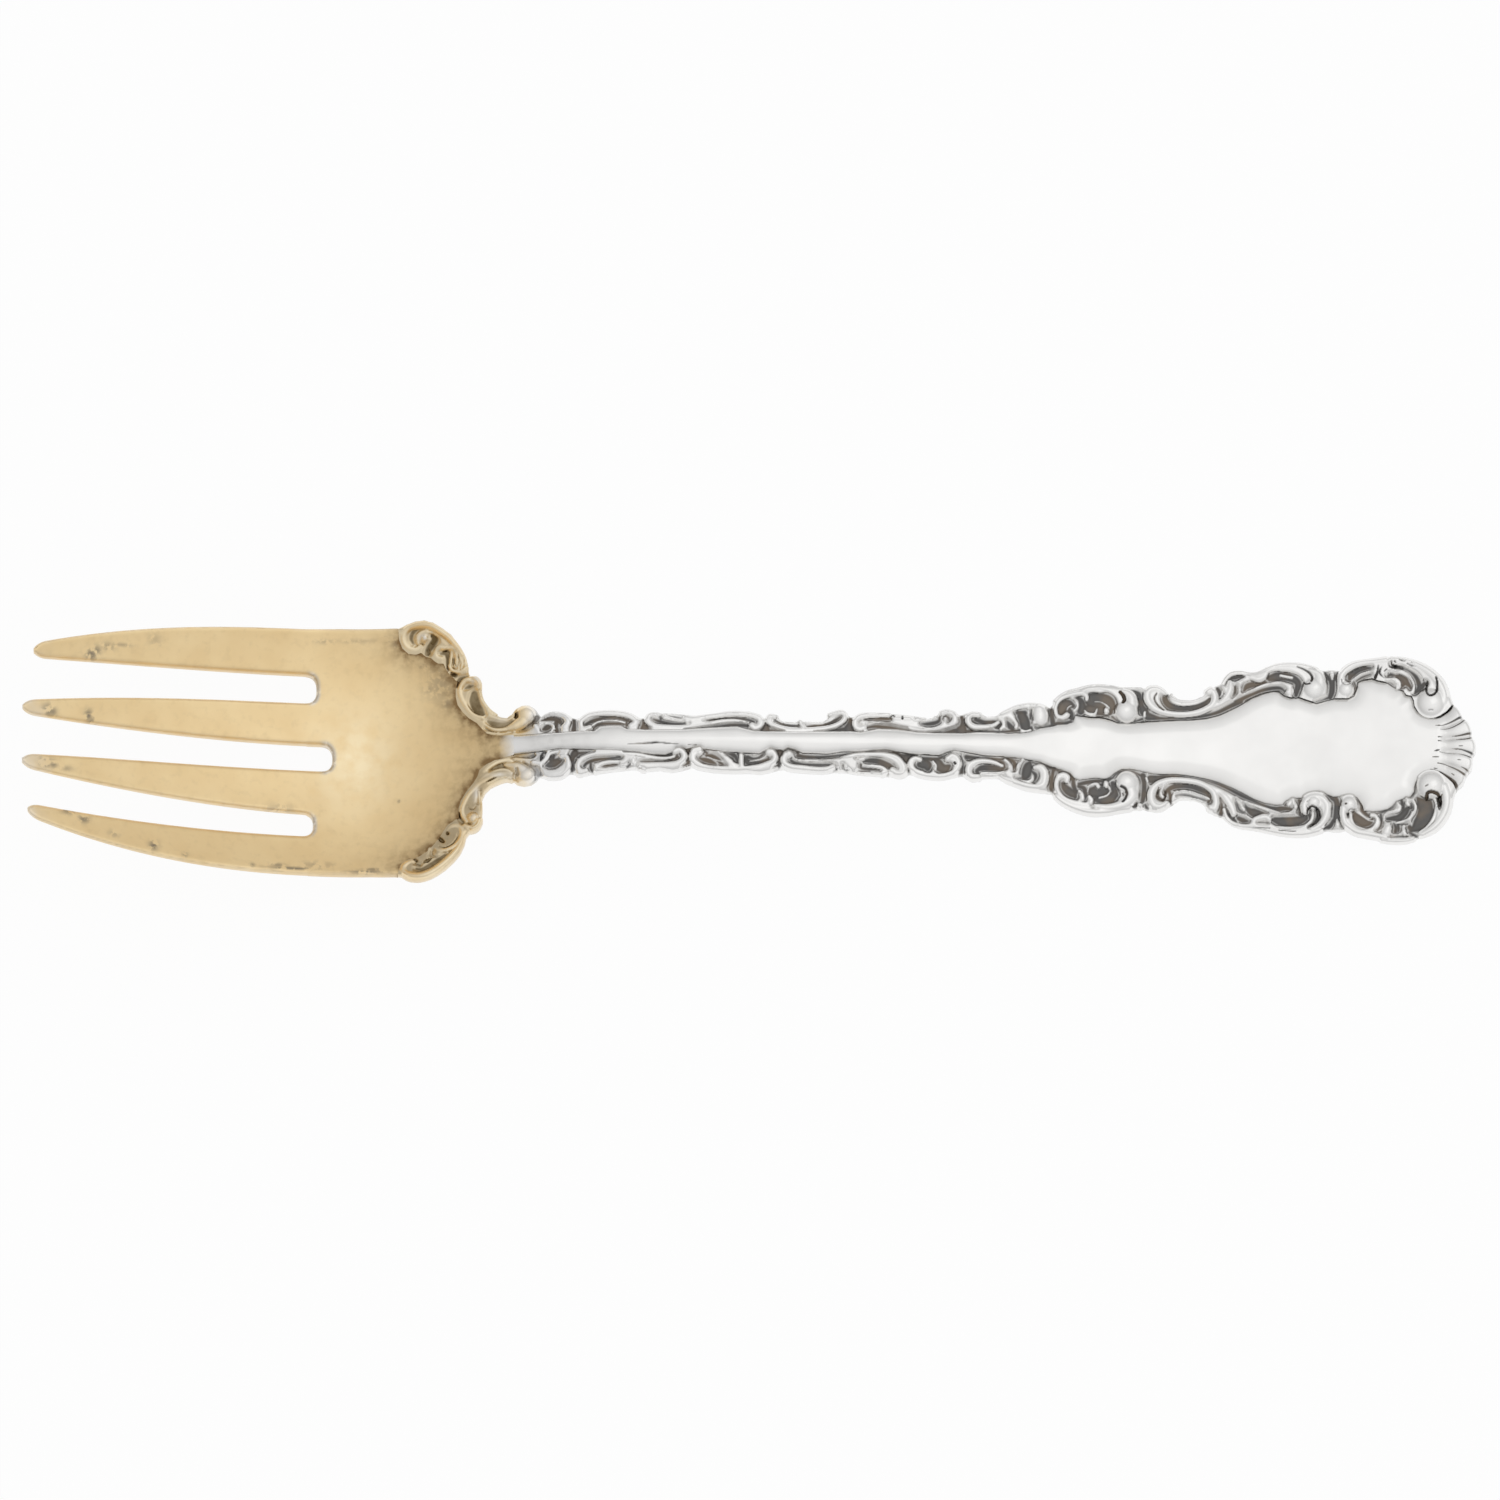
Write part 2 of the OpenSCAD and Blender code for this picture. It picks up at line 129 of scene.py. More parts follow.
def strike_tree():
    """Turns a flat plan, which carries its upper and lower heights, into a closed solid."""
    tree = bpy.data.node_groups.new("strike", "GeometryNodeTree")
    tree.interface.new_socket("Plan", in_out="INPUT", socket_type="NodeSocketGeometry")
    tree.interface.new_socket("Metal", in_out="INPUT", socket_type="NodeSocketMaterial")
    tree.interface.new_socket("Sharp angle", in_out="INPUT", socket_type="NodeSocketFloat")
    tree.interface.new_socket("Solid", in_out="OUTPUT", socket_type="NodeSocketGeometry")

    def add(kind, **settings):
        made = tree.nodes.new(kind)
        for key, value in settings.items():
            setattr(made, key, value)
        return made

    link = tree.links.new
    given, result = add("NodeGroupInput"), add("NodeGroupOutput")
    place = add("GeometryNodeInputPosition")
    split = add("ShaderNodeSeparateXYZ")
    link(place.outputs[0], split.inputs[0])
    heights = {}
    for side in ("under", "top"):
        height = add("GeometryNodeInputNamedAttribute", data_type="FLOAT")
        height.inputs["Name"].default_value = side
        heights[side] = add("ShaderNodeCombineXYZ")
        link(split.outputs[0], heights[side].inputs[0])
        link(split.outputs[1], heights[side].inputs[1])
        link(height.outputs["Attribute"], heights[side].inputs[2])
    low = add("GeometryNodeSetPosition")
    link(given.outputs["Plan"], low.inputs["Geometry"])
    link(heights["under"].outputs[0], low.inputs["Position"])
    pulled = add("GeometryNodeExtrudeMesh", mode="FACES")
    pulled.inputs["Individual"].default_value = False
    pulled.inputs["Offset Scale"].default_value = 0
    link(low.outputs[0], pulled.inputs["Mesh"])
    high = add("GeometryNodeSetPosition")
    link(pulled.outputs["Mesh"], high.inputs["Geometry"])
    link(pulled.outputs["Top"], high.inputs["Selection"])
    link(heights["top"].outputs[0], high.inputs["Position"])
    back = add("GeometryNodeFlipFaces")
    link(low.outputs[0], back.inputs[0])
    for mark in ("patina_and_shade", "tarnish", "bare", "painted_highlight"):
        plain = add("GeometryNodeStoreNamedAttribute", data_type="FLOAT", domain="POINT")
        plain.inputs["Name"].default_value = mark
        link(back.outputs[0], plain.inputs["Geometry"])
        back = plain
    joined = add("GeometryNodeJoinGeometry")
    link(high.outputs[0], joined.inputs[0])
    link(back.outputs[0], joined.inputs[0])
    closed = add("GeometryNodeMergeByDistance")
    closed.inputs["Distance"].default_value = weld
    link(joined.outputs[0], closed.inputs[0])
    soft = add("GeometryNodeSetShadeSmooth", domain="FACE")
    link(closed.outputs[0], soft.inputs["Geometry"])
    angle = add("GeometryNodeInputMeshEdgeAngle")
    sharp = add("FunctionNodeCompare", data_type="FLOAT", operation="GREATER_THAN")
    link(angle.outputs["Unsigned Angle"], sharp.inputs[0])
    link(given.outputs["Sharp angle"], sharp.inputs[1])
    crisp = add("GeometryNodeSetShadeSmooth", domain="EDGE")
    crisp.inputs["Shade Smooth"].default_value = False
    link(soft.outputs[0], crisp.inputs["Geometry"])
    link(sharp.outputs[0], crisp.inputs["Selection"])
    real = add("GeometryNodeRealizeInstances")
    link(crisp.outputs[0], real.inputs[0])
    metal = add("GeometryNodeSetMaterial")
    link(real.outputs[0], metal.inputs["Geometry"])
    link(given.outputs["Metal"], metal.inputs["Material"])
    link(metal.outputs[0], result.inputs[0])
    return tree


strike = strike_tree()


def struck(name, xs, ys, inside, relief, metal):
    """One solid of the fork over a grid of places. inside gives the depth inside its outline, and
    relief its upper height, lower height and darkening at each place, from oxide and grime and from
    painted shade, with tarnish and the shares of bare silver and of a painted highlight where it is gilded."""
    flattest, snap, sliver, most_trims = 0.3, 0.5, 0.2, 12
    px, py = np.meshgrid(xs, ys, indexing="ij")
    shape = px.shape
    depth = inside(px.ravel(), py.ravel()).reshape(shape)
    gx, gy = np.gradient(depth, xs, ys)
    slope = np.clip(np.hypot(gx, gy), flattest, None)
    step = min(xs[1] - xs[0], ys[1] - ys[0])
    on_edge = np.abs(depth / slope) < snap * step
    inner = np.ones(shape, bool)
    inner[0], inner[-1] = False, False
    px = px - np.where(on_edge & inner, depth * gx / slope ** 2, 0)
    py = py - np.where(on_edge, depth * gy / slope ** 2, 0)
    good = on_edge | (depth > 0)
    ids = np.arange(px.size).reshape(shape)
    corners = np.stack([ids[:-1, :-1], ids[1:, :-1], ids[1:, 1:], ids[:-1, 1:]], -1).reshape(-1, 4)
    held = good.ravel()[corners]
    middle = depth.ravel()[corners].mean(1)
    whole = corners[(held.sum(1) == 4) & (middle > 0)]
    part = (held.sum(1) == 3) & (middle > -sliver * step)
    trimmed = corners[part][held[part]].reshape(-1, 3)
    faces = [whole, trimmed]
    for _ in range(most_trims):
        sides = np.concatenate([np.stack([f, np.roll(f, -1, 1)], -1).reshape(-1, 2) for f in faces])
        sides = np.sort(sides, 1)
        keys, counts = np.unique(sides[:, 0] * px.size + sides[:, 1], return_counts=True)
        rim = keys[counts == 1]
        ends = np.bincount(np.concatenate([rim // px.size, rim % px.size]), minlength=px.size)
        pinched = ends > 2
        if not pinched.any():
            break
        faces = [f[~pinched[f].any(1)] for f in faces]
    used = np.unique(np.concatenate([f.ravel() for f in faces]))
    renumber = np.zeros(px.size, int)
    renumber[used] = np.arange(used.size)
    x, y = px.ravel()[used], py.ravel()[used]
    top, under, *marks = relief(x, y)
    plan = bpy.data.meshes.new(name)
    flat = np.column_stack([x, y, np.zeros_like(x)]) / mm_per_m
    plan.from_pydata(flat, [], [renumber[row].tolist() for f in faces for row in f])
    labels = ("top", "under", "patina_and_shade", "tarnish", "bare", "painted_highlight")
    for label, values in zip(labels, (top / mm_per_m, under / mm_per_m, *marks)):
        plan.attributes.new(label, "FLOAT", "POINT").data.foreach_set("value", values.astype(np.float32))
    piece = bpy.data.objects.new(name, plan)
    bpy.context.scene.collection.objects.link(piece)
    work = piece.modifiers.new("strike", "NODES")
    work.node_group = strike
    for socket in strike.interface.items_tree:
        if socket.name == "Metal":
            work[socket.identifier] = metal
        if socket.name == "Sharp angle":
            work[socket.identifier] = crisp_angle
    solid = bpy.data.meshes.new_from_object(piece.evaluated_get(bpy.context.evaluated_depsgraph_get()))
    piece.modifiers.clear()
    piece.data = solid
    bpy.data.meshes.remove(plan)
    solid.name = name
    return piece


def grid(start, end, step):
    """Places from start to end, about a step apart."""
    return np.linspace(start, end, max(2, int(round((end - start) / step)) + 1))


silver_white, silver_dark, silver_brown = (0.905, 0.897, 0.882), (0.064, 0.061, 0.058), (0.130, 0.100, 0.072)
# The colours of the painted highlight, of bare silver and of grey tarnish
painted_highlight_gold, bare_silver, tarnish_grey = (0.99, 0.85, 0.58), (0.82, 0.77, 0.69), (0.28, 0.235, 0.175)
polish, ragged_edge = 0.22, 0.0012


def math_node(tree, operation, *values, clamp=False):
    """What an operation makes of values that are plain numbers or come from other nodes."""
    made = tree.nodes.new("ShaderNodeMath")
    made.operation, made.use_clamp = operation, clamp
    for socket, value in zip(made.inputs, values):
        if isinstance(value, float):
            socket.default_value = value
        else:
            tree.links.new(value, socket)
    return made.outputs[0]


def ramp_node(tree, value, low, high, start=0.0, end=1.0):
    """Goes from start to end while the value goes from low to high."""
    made = tree.nodes.new("ShaderNodeMapRange")
    for label, amount in (("From Min", low), ("From Max", high), ("To Min", start), ("To Max", end)):
        made.inputs[label].default_value = amount
    tree.links.new(value, made.inputs["Value"])
    return made.outputs["Result"]


def metal_finish(name, wash=None):
    """Worn silver: bright on its high places, dark in the sunk ground and where shade is painted, and gilded
    where washed, with a painted highlight in the wash where marked.
    """
    finish = bpy.data.materials.new(name)
    finish.use_nodes = True
    tree = finish.node_tree
    nodes, link = tree.nodes, tree.links.new
    shader = nodes["Principled BSDF"]
    shader.inputs["Metallic"].default_value = 1.0
    shader.inputs["Roughness"].default_value = polish
    place = nodes.new("ShaderNodeTexCoord")

    def blend(share, first, second):
        made = nodes.new("ShaderNodeMix")
        made.data_type = "RGBA"
        link(share, made.inputs["Factor"])
        for socket, value in ((made.inputs["A"], first), (made.inputs["B"], second)):
            if isinstance(value, tuple):
                socket.default_value = (*value, 1)
            else:
                link(value, socket)
        return made.outputs["Result"]

    def cloud(scale, low, high, detail=3.0, most=1.0):
        noise = nodes.new("ShaderNodeTexNoise")
        noise.inputs["Scale"].default_value = scale
        noise.inputs["Detail"].default_value = detail
        link(place.outputs["Object"], noise.inputs["Vector"])
        return ramp_node(tree, noise.outputs["Fac"], low, high, end=most)

    def mark(label):
        made = nodes.new("ShaderNodeAttribute")
        made.attribute_name = label
        return made.outputs["Fac"]

    def dulled(tone, share):
        return tuple(share * c for c in tone)

    colour = blend(cloud(260, 0.35, 0.65), silver_white, dulled(silver_white, 0.95))
    sunk = blend(cloud(360, 0.46, 0.62, most=0.9), silver_dark, silver_brown)
    if wash:
        gilded = blend(cloud(300, 0.3, 0.7), wash["gold"], wash["shade"])
        gilded = blend(cloud(1500, 0.52, 0.9, detail=4.0, most=0.45), gilded, dulled(wash["shade"], 0.78))
        # A lighter gold where a highlight is painted, then bare silver where the wash is rubbed through
        for label, tone in (("painted_highlight", painted_highlight_gold), ("bare", bare_silver)):
            gilded = blend(math_node(tree, "MULTIPLY", mark(label), cloud(700, 0.2, 0.6)), gilded, tone)
        split = nodes.new("ShaderNodeSeparateXYZ")
        link(place.outputs["Object"], split.inputs[0])
        wander = math_node(tree, "MULTIPLY", cloud(900, 0.0, 1.0), ragged_edge)
        along = math_node(tree, "ADD", wander, split.outputs["X"])
        faded = ramp_node(tree, along, wash["fade_from"], wash["fade_to"])
        colour = blend(faded, gilded, colour)
        sunk = blend(faded, wash["sunk"], sunk)
        link(ramp_node(tree, faded, 0.0, 1.0, wash["satin"], polish), shader.inputs["Roughness"])
    # Grey tarnish, then the dark of oxide and grime together with the painted shade
    for label, shade in (("tarnish", tarnish_grey), ("patina_and_shade", sunk)):
        share = mark(label)
        if label == "tarnish":
            share = math_node(tree, "MULTIPLY", share, cloud(1500, 0.42, 0.52, detail=4.0))
        elif wash:
            patches = cloud(1300, 0.4, 0.62, detail=4.0, most=wash["smudge"])
            patches = math_node(tree, "ADD", patches, 1 - wash["smudge"] / 2)
            share = math_node(tree, "MULTIPLY", share, patches)
        colour = blend(share, colour, shade)
    link(colour, shader.inputs["Base Color"])
    return finish


# The wash: its gold, how that varies and darkens, the places in metres where it fades out along the stem,
# how satin it is and how patchy its grime, oxide and painted shade are
gold_wash = {"gold": (0.94, 0.74, 0.43), "shade": (0.88, 0.67, 0.37), "sunk": (0.26, 0.165, 0.075),
             "fade_from": -0.0217, "fade_to": -0.0203, "satin": 0.44, "smudge": 0.6}
gilt = metal_finish("gilt wash", gold_wash)

# How each tine runs: the station of its tip, then for its inner and its outer side the distance from the
# middle of the fork at the root and at the tip, and how late the side turns in. With them come half the
# width of the middle slot, how square the slots end and the stations of their ends.
middle_half, slot_squareness = 1.2, 2.8
tine_lines = {
    "outer_left": (1.15, (7.3, 7.0, 3.2), (11.15, 7.9, 2.35)),
    "inner_left": (0.1, (middle_half, 2.05, 1.75), (4.85, 3.2, 2.4)),
    "inner_right": (0.0, (middle_half, 1.65, 4.0), (5.2, 2.85, 1.55)),
    "outer_right": (0.45, (7.45, 6.25, 2.05), (11.25, 7.35, 2.25)),
}
slot_stations = {"left": 26.4, "middle": 27.75, "right": 25.95}
tip_round, tip_blunt = 1.1, 0.35


def tine_sides(tip, inner, outer, inner_end, outer_end):
    """The inner and outer sides of a tine, each from its tip to the station where it ends."""
    places, crowding = 44, 1.6
    sides = []
    for way, end in ((-1, inner_end), (1, outer_end)):
        x = tip + (end - tip) * np.linspace(0, 1, places) ** crowding
        share = np.clip((station_root - x) / station_root, 0, None)
        near, far = (root + (point - root) * share ** turn for root, point, turn in (inner, outer))
        u = np.clip((x - tip) / tip_round, 0, 1)
        blunt = np.maximum(tip_blunt, np.sqrt(u * (2 - u)))
        sides.append(list(zip(x - fork_len / 2, (near + far) / 2 + way * (far - near) / 2 * blunt)))
    return sides


def slot_end(end, low_y, high_y):
    """The end of a slot, between round and square, from its higher side to its lower one."""
    places = 19
    half, centre_y = (high_y - low_y) / 2, (high_y + low_y) / 2
    centre_x = end - half - fork_len / 2
    turns = np.linspace(math.pi / 2, -math.pi / 2, places)[1:-1]
    along = np.cos(turns) ** (2 / slot_squareness)
    across = np.sign(turns) * np.abs(np.sin(turns)) ** (2 / slot_squareness)
    return list(zip(centre_x + half * along, centre_y + half * across))


def tine_pair(side):
    """The line round the two tines of one side, from the bowl's edge to the middle slot."""
    outer_tip, *outer_lines = tine_lines["outer_" + side]
    inner_tip, *inner_lines = tine_lines["inner_" + side]
    slot_low, slot_high = inner_lines[1][0], outer_lines[0][0]
    slot_start = slot_stations[side] - (slot_high - slot_low) / 2
    outer_in, outer_out = tine_sides(outer_tip, *outer_lines, slot_start, station_root)
    middle_start = slot_stations["middle"] - middle_half
    inner_in, inner_out = tine_sides(inner_tip, *inner_lines, middle_start, slot_start)
    return (outer_out[::-1] + outer_in + slot_end(slot_stations[side], slot_low, slot_high)
            + inner_out[::-1] + inner_in)


# The line round the tines and the bowl, which runs on under the scrolls to the neck
left_side = [(-18.0, 0.6), (-23.0, 1.5), (-27.0, 7.0), (-29.0, 9.4), (-31.2, 11.25), (-34.0, 11.27),
             (-36.5, 11.25)]
right_side = [(-36.5, -11.24), (-34.0, -11.2), (-31.2, -11.3), (-29.0, -10.2), (-27.0, -7.6), (-23.0, -1.7),
              (-18.0, -0.6)]
head = (left_side + tine_pair("left") + slot_end(slot_stations["middle"], -middle_half, middle_half)
        + [(x, -y) for x, y in tine_pair("right")[::-1]] + right_side)
root_x = station_root - fork_len / 2

# Grey tarnish where the wash has worn off: place along and across, half length, half width and strength
wash_stains = [
    (-58.7, 7.7, 0.5, 0.45, 1), (-58.2, 8.1, 0.4, 0.4, 0.8), (-57.2, 8.5, 0.6, 0.35, 0.6),
    (-56, 8.75, 1, 0.15, 0.5), (-53, 9.4, 0.6, 0.6, 0.3), (-62.6, 2.5, 0.5, 0.5, 1),
    (-62.2, 2.4, 0.4, 0.4, 0.8), (-59, 2.4, 0.35, 0.5, 1), (-58.7, 1.9, 0.35, 0.45, 0.7),
    (-62.9, -2.3, 0.55, 0.45, 1), (-62.2, -2.4, 0.4, 0.4, 0.8), (-61, -2.7, 0.6, 0.25, 0.5),
    (-42, -5, 1.4, 0.5, 0.4), (-60.9, -6.8, 0.6, 0.3, 0.7), (-59.5, -7.4, 0.5, 0.4, 0.9),
    (-56.8, -8.6, 0.5, 0.4, 0.4), (-53.3, -9.4, 0.4, 0.5, 1), (-50.5, -10.1, 0.25, 0.25, 0.7),
    (-44.5, -10.7, 0.25, 0.22, 0.7), (-40.9, -10.8, 2.1, 0.14, 1), (-42.2, -10.55, 0.7, 0.2, 0.7),
    (-38.7, -10.35, 1.5, 0.3, 0.45), (-34.4, -10.95, 1.6, 0.14, 1), (-33.8, -10.7, 0.9, 0.12, 0.9),
    (-27.4, 6.2, 1.3, 1.6, 0.45), (-26.9, 4.4, 0.5, 0.4, 0.6), (-28.6, 5.8, 0.5, 0.4, 0.5),
    (-28.6, 7.9, 0.8, 0.3, 0.7), (-32.1, 10.35, 0.5, 0.2, 0.9), (-31.5, 9.9, 0.35, 0.4, 0.6),
    (-35, 10.2, 2, 0.2, 0.3), (-37.8, 10.1, 1, 0.2, 0.4), (-31.3, -4.1, 0.14, 0.14, 0.9),
]
# A painted highlight: paler wash in the middle of the bowl that stands for a reflection, written in the same
# order
painted_highlight_middle = [(-35.4, -0.3, 3.8, 4.2, 0.9)]


def spots(marks, px, py):
    """Strength at each place of soft marks."""
    share = np.zeros(px.shape)
    for x, y, long, wide, strength in marks:
        share = np.maximum(share, strength * np.exp(-(((px - x) / long) ** 2 + ((py - y) / wide) ** 2)))
    return share


# How far the edges are rounded above and below, how wide their wear is and how much of it is bare or dirty,
# and the same for the wear at the tips
top_round, back_round = 0.36, 0.42
edge_w, edge_bare, edge_dirt = 0.3, 0.3, 0.05
tip_worn_len, tip_bare = 3.4, 0.55


def head_inside(px, py):
    return depth_inside(head, px, py)


def tine_relief(px, py):
    depth, x = head_inside(px, py), px + fork_len / 2
    edge = 1 - ease(depth / edge_w)
    bare = np.clip(tip_bare * (1 - ease(x / tip_worn_len)) + edge_bare * edge, 0, 1)
    top = bowl_top(px, py)
    under = top - thickness(x)
    return (top - rounded(depth, top_round), under + rounded(depth, back_round), edge_dirt * edge,
            spots(wash_stains, px, py), bare, spots(painted_highlight_middle, px, py))


plan_tip_x, plan_side_y = -65.4, 12.0
tine_reach = {
    "outer_left_tine": (slot_pitch, plan_side_y), "inner_left_tine": (0.0, slot_pitch),
    "inner_right_tine": (-slot_pitch, 0.0), "outer_right_tine": (-plan_side_y, -slot_pitch),
}
for name, (low_y, high_y) in tine_reach.items():
    tine = struck(name, grid(plan_tip_x, root_x, 0.13), grid(low_y, high_y, 0.12),
                  head_inside, tine_relief, gilt)
    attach(tine, "root")
    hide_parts(name)


# The bowl: the shallow dished middle of the fork, struck with it and gilded all over. The slots between
# the tines end in it, and the scrolls at its shoulders stand on its edge.

# Where the silhouette runs along the left and right edges, from the shoulders to the shell
left_edge = [
    (-33, 10.6), (-32, 11.2), (-31.2, 11.25), (-30.9, 11.35), (-30.5, 11.53), (-29.7, 11.74), (-28.9, 11.76),
    (-28.1, 11.53), (-27.3, 11.02), (-26.5, 10.38), (-25.95, 9.63), (-25.6, 8.9), (-25.3, 8.2), (-25.05, 7.5),
    (-24.95, 6.9), (-24.7, 6.45), (-24.2, 6.2), (-23.9, 5.7), (-23.85, 4.9), (-23.6, 4.2), (-23.2, 3.6),
    (-22.7, 3.1), (-22.1, 2.8), (-21.6, 2.72), (-21.15, 3.05), (-20.8, 3.48), (-20.25, 3.75), (-19.6, 3.75),
    (-19.1, 3.4), (-18.7, 2.85), (-18.4, 2.5), (-17.7, 2.8), (-17, 2.85), (-16.2, 2.55), (-15.6, 2.3),
    (-15.2, 2.2), (-14.6, 2.5), (-13.7, 2.7), (-12.7, 2.75), (-11.5, 2.7), (-10.6, 2.45), (-10, 2.15),
    (-9.4, 2.15), (-9, 2.4), (-8.2, 2.6), (-7.4, 2.5), (-6, 2.38), (-5, 2.3), (-3.9, 2.35), (-2.5, 2.5),
    (-1.1, 2.65), (0, 2.6), (0.9, 2.4), (1.4, 2.15), (1.7, 2.3), (2.2, 2.45), (2.6, 2.15), (3.1, 1.85),
    (4.2, 1.78), (5.4, 1.82), (6.6, 1.85), (7.2, 2.2), (7.7, 2.7), (8.3, 2.9), (8.8, 2.65), (9.1, 2.4),
    (9.6, 2.4), (10.4, 2.65), (11.6, 2.7), (12.8, 2.7), (14, 2.6), (15, 2.5), (15.9, 2.35), (16.6, 2.5),
    (17.2, 2.9), (17.9, 3.1), (18.5, 2.95), (18.9, 2.75), (19.3, 2.85), (20, 2.98), (20.7, 2.9), (21.3, 2.6),
    (22, 2.65), (22.6, 2.95), (23.3, 3.35), (24, 3.6), (24.9, 3.85), (25.8, 3.9), (26.6, 3.75), (26.95, 3.6),
    (27.2, 3.9), (27.6, 4.4), (28.2, 4.85), (28.9, 5.15), (29.6, 5.35), (30.2, 5.6), (31.5, 5.75),
    (32.6, 5.7), (33.5, 5.58), (35, 5.6), (35.4, 5.5), (35.8, 5.65), (36.4, 5.75), (37, 5.55), (37.6, 5.1),
    (38, 4.85), (38.5, 4.55), (39.2, 4.48), (40, 4.52), (40.6, 4.85), (41, 5.4), (41.5, 5.7), (42, 5.9),
    (42.3, 6), (42.7, 6.6), (43.2, 7.05), (44, 7.2), (44.7, 7.05), (45.3, 7.05), (45.9, 7.25), (46.6, 7.55),
    (47.4, 7.8), (48.4, 7.9), (49.3, 7.85), (50.1, 7.65), (50.9, 7.35), (51.5, 7.25), (52.9, 7.25),
    (53.3, 7.4), (53.7, 7.65), (54.3, 7.9), (55, 8.07), (55.8, 8.22), (56.6, 8.33), (57.5, 8.38),
    (58.4, 8.28), (59.4, 8.12), (60.2, 7.88), (60.9, 7.5), (61.5, 7), (62, 6.4), (62.4, 5.7), (62.7, 5),
    (62.9, 4.4), (63.05, 4),
]
shell_rim = [
    (63.3, 3.75), (63.55, 3.4), (63.72, 3.05), (63.78, 2.8), (64.05, 2.58), (64.3, 2.3), (64.5, 1.9),
    (64.62, 1.45), (64.63, 1.15), (64.68, 0.85), (64.87, 0.6), (64.97, 0.25), (65, -0.1), (64.95, -0.35),
    (64.78, -0.65), (64.65, -0.95), (64.7, -1.25), (64.67, -1.6), (64.57, -1.95), (64.36, -2.2),
    (64.08, -2.55), (63.98, -2.9), (63.83, -3.25), (63.58, -3.5), (63.3, -3.75),
]
right_edge = [
    (63.05, -4.3), (62.9, -5), (62.6, -5.8), (62.2, -6.5), (61.7, -7.1), (61, -7.65), (60.2, -8.05),
    (59.4, -8.35), (58.6, -8.5), (57.7, -8.57), (56.8, -8.48), (55.9, -8.3), (55, -8.1), (54.2, -7.85),
    (53.6, -7.55), (53.2, -7.4), (52.8, -7.5), (52.2, -7.5), (51.6, -7.4), (51, -7.55), (50, -7.85),
    (49, -7.95), (48, -7.9), (47, -7.75), (46, -7.5), (45, -7.35), (44, -7.25), (43.2, -6.95), (42.6, -6.5),
    (42.2, -6.2), (41.6, -6.05), (41.1, -5.75), (40.8, -5.3), (40.4, -4.9), (39.7, -4.65), (39, -4.58),
    (38.4, -4.65), (38, -4.95), (37.6, -5.25), (37.1, -5.6), (36.4, -5.8), (35.8, -5.7), (35.2, -5.55),
    (34.4, -5.6), (33.6, -5.8), (32.7, -6), (31.5, -6.15), (30.4, -6.1), (29.4, -5.85), (28.5, -5.5),
    (27.8, -5.05), (27.3, -4.6), (27, -4.25), (26.5, -4.2), (25.6, -4.15), (24.8, -4), (24.1, -3.75),
    (23.4, -3.45), (22.7, -3.1), (22.2, -2.95), (21.4, -2.95), (20.9, -3), (20.5, -3.2), (19.9, -3.25),
    (19.4, -3.05), (19.1, -2.8), (18.7, -2.85), (18, -3.05), (16.8, -3.2), (15.6, -3.05), (14.8, -2.8),
    (14.3, -2.75), (13.9, -2.95), (13.2, -3), (12.3, -3), (11.3, -2.98), (10, -2.85), (9, -2.72),
    (8.1, -2.65), (7.2, -2.7), (6.05, -2.8), (4.8, -2.7), (3.8, -2.6), (3.1, -2.45), (2.7, -2.5),
    (1.9, -2.75), (1, -2.95), (-0.2, -2.85), (-1.5, -2.85), (-3, -2.75), (-4.3, -2.55), (-5, -2.3),
    (-5.4, -2.3), (-6.1, -2.6), (-6.9, -2.8), (-8, -2.6), (-9.4, -2.75), (-10.3, -2.5), (-11.2, -2.6),
    (-12.5, -2.75), (-13.7, -2.9), (-14.5, -2.95), (-15.2, -3), (-15.7, -2.8), (-16.2, -2.75), (-16.8, -3.1),
    (-17.5, -3.2), (-18.2, -3.05), (-18.7, -2.9), (-19, -3.25), (-19.5, -3.55), (-20.1, -3.6), (-20.7, -3.4),
    (-21.1, -3.0), (-21.7, -2.8), (-22.4, -2.95), (-23.05, -3.32), (-23.6, -3.82), (-23.9, -4.5), (-24, -5.5),
    (-23.95, -6.2), (-24.15, -6.75), (-24.5, -7.2), (-25, -7.52), (-25.33, -7.95), (-25.5, -8.7),
    (-25.9, -9.55), (-26.45, -10.25), (-27.2, -10.95), (-28, -11.5), (-28.9, -11.84), (-29.7, -11.9),
    (-30.3, -11.77), (-30.8, -11.52), (-31.2, -11.35), (-32, -11.25), (-33, -10.8),
]
body = left_edge + shell_rim + right_edge

# The shoulders, which the scrolls cover, and the places where the bowl and the scrolls end
neck_x, shoulder_end = -21.0, -18.7
left_shoulder = [
    (-31.25, 11.3), (-31.15, 10.2), (-30.88, 9.5), (-30.35, 9), (-29.66, 8.88), (-29.2, 9), (-28.8, 8.65),
    (-28.3, 8.45), (-28.05, 8.2), (-27.7, 7.95), (-27.2, 7.9), (-27, 7.35), (-26.7, 6.95), (-26.3, 6.55),
    (-26, 6.15), (-26.15, 5.5), (-26.15, 4.9), (-26, 4.2), (-25.55, 3.5), (-25, 2.9), (-24.3, 2.4),
    (-23.9, 1.9), (-23.4, 1.35), (-22.6, 1.1), (-21.5, 1.02), (neck_x, 1), (neck_x, 0.3), (-18, 0.3),
    (-18, 5), (-22, 8), (-25, 13), (-31.3, 13),
]
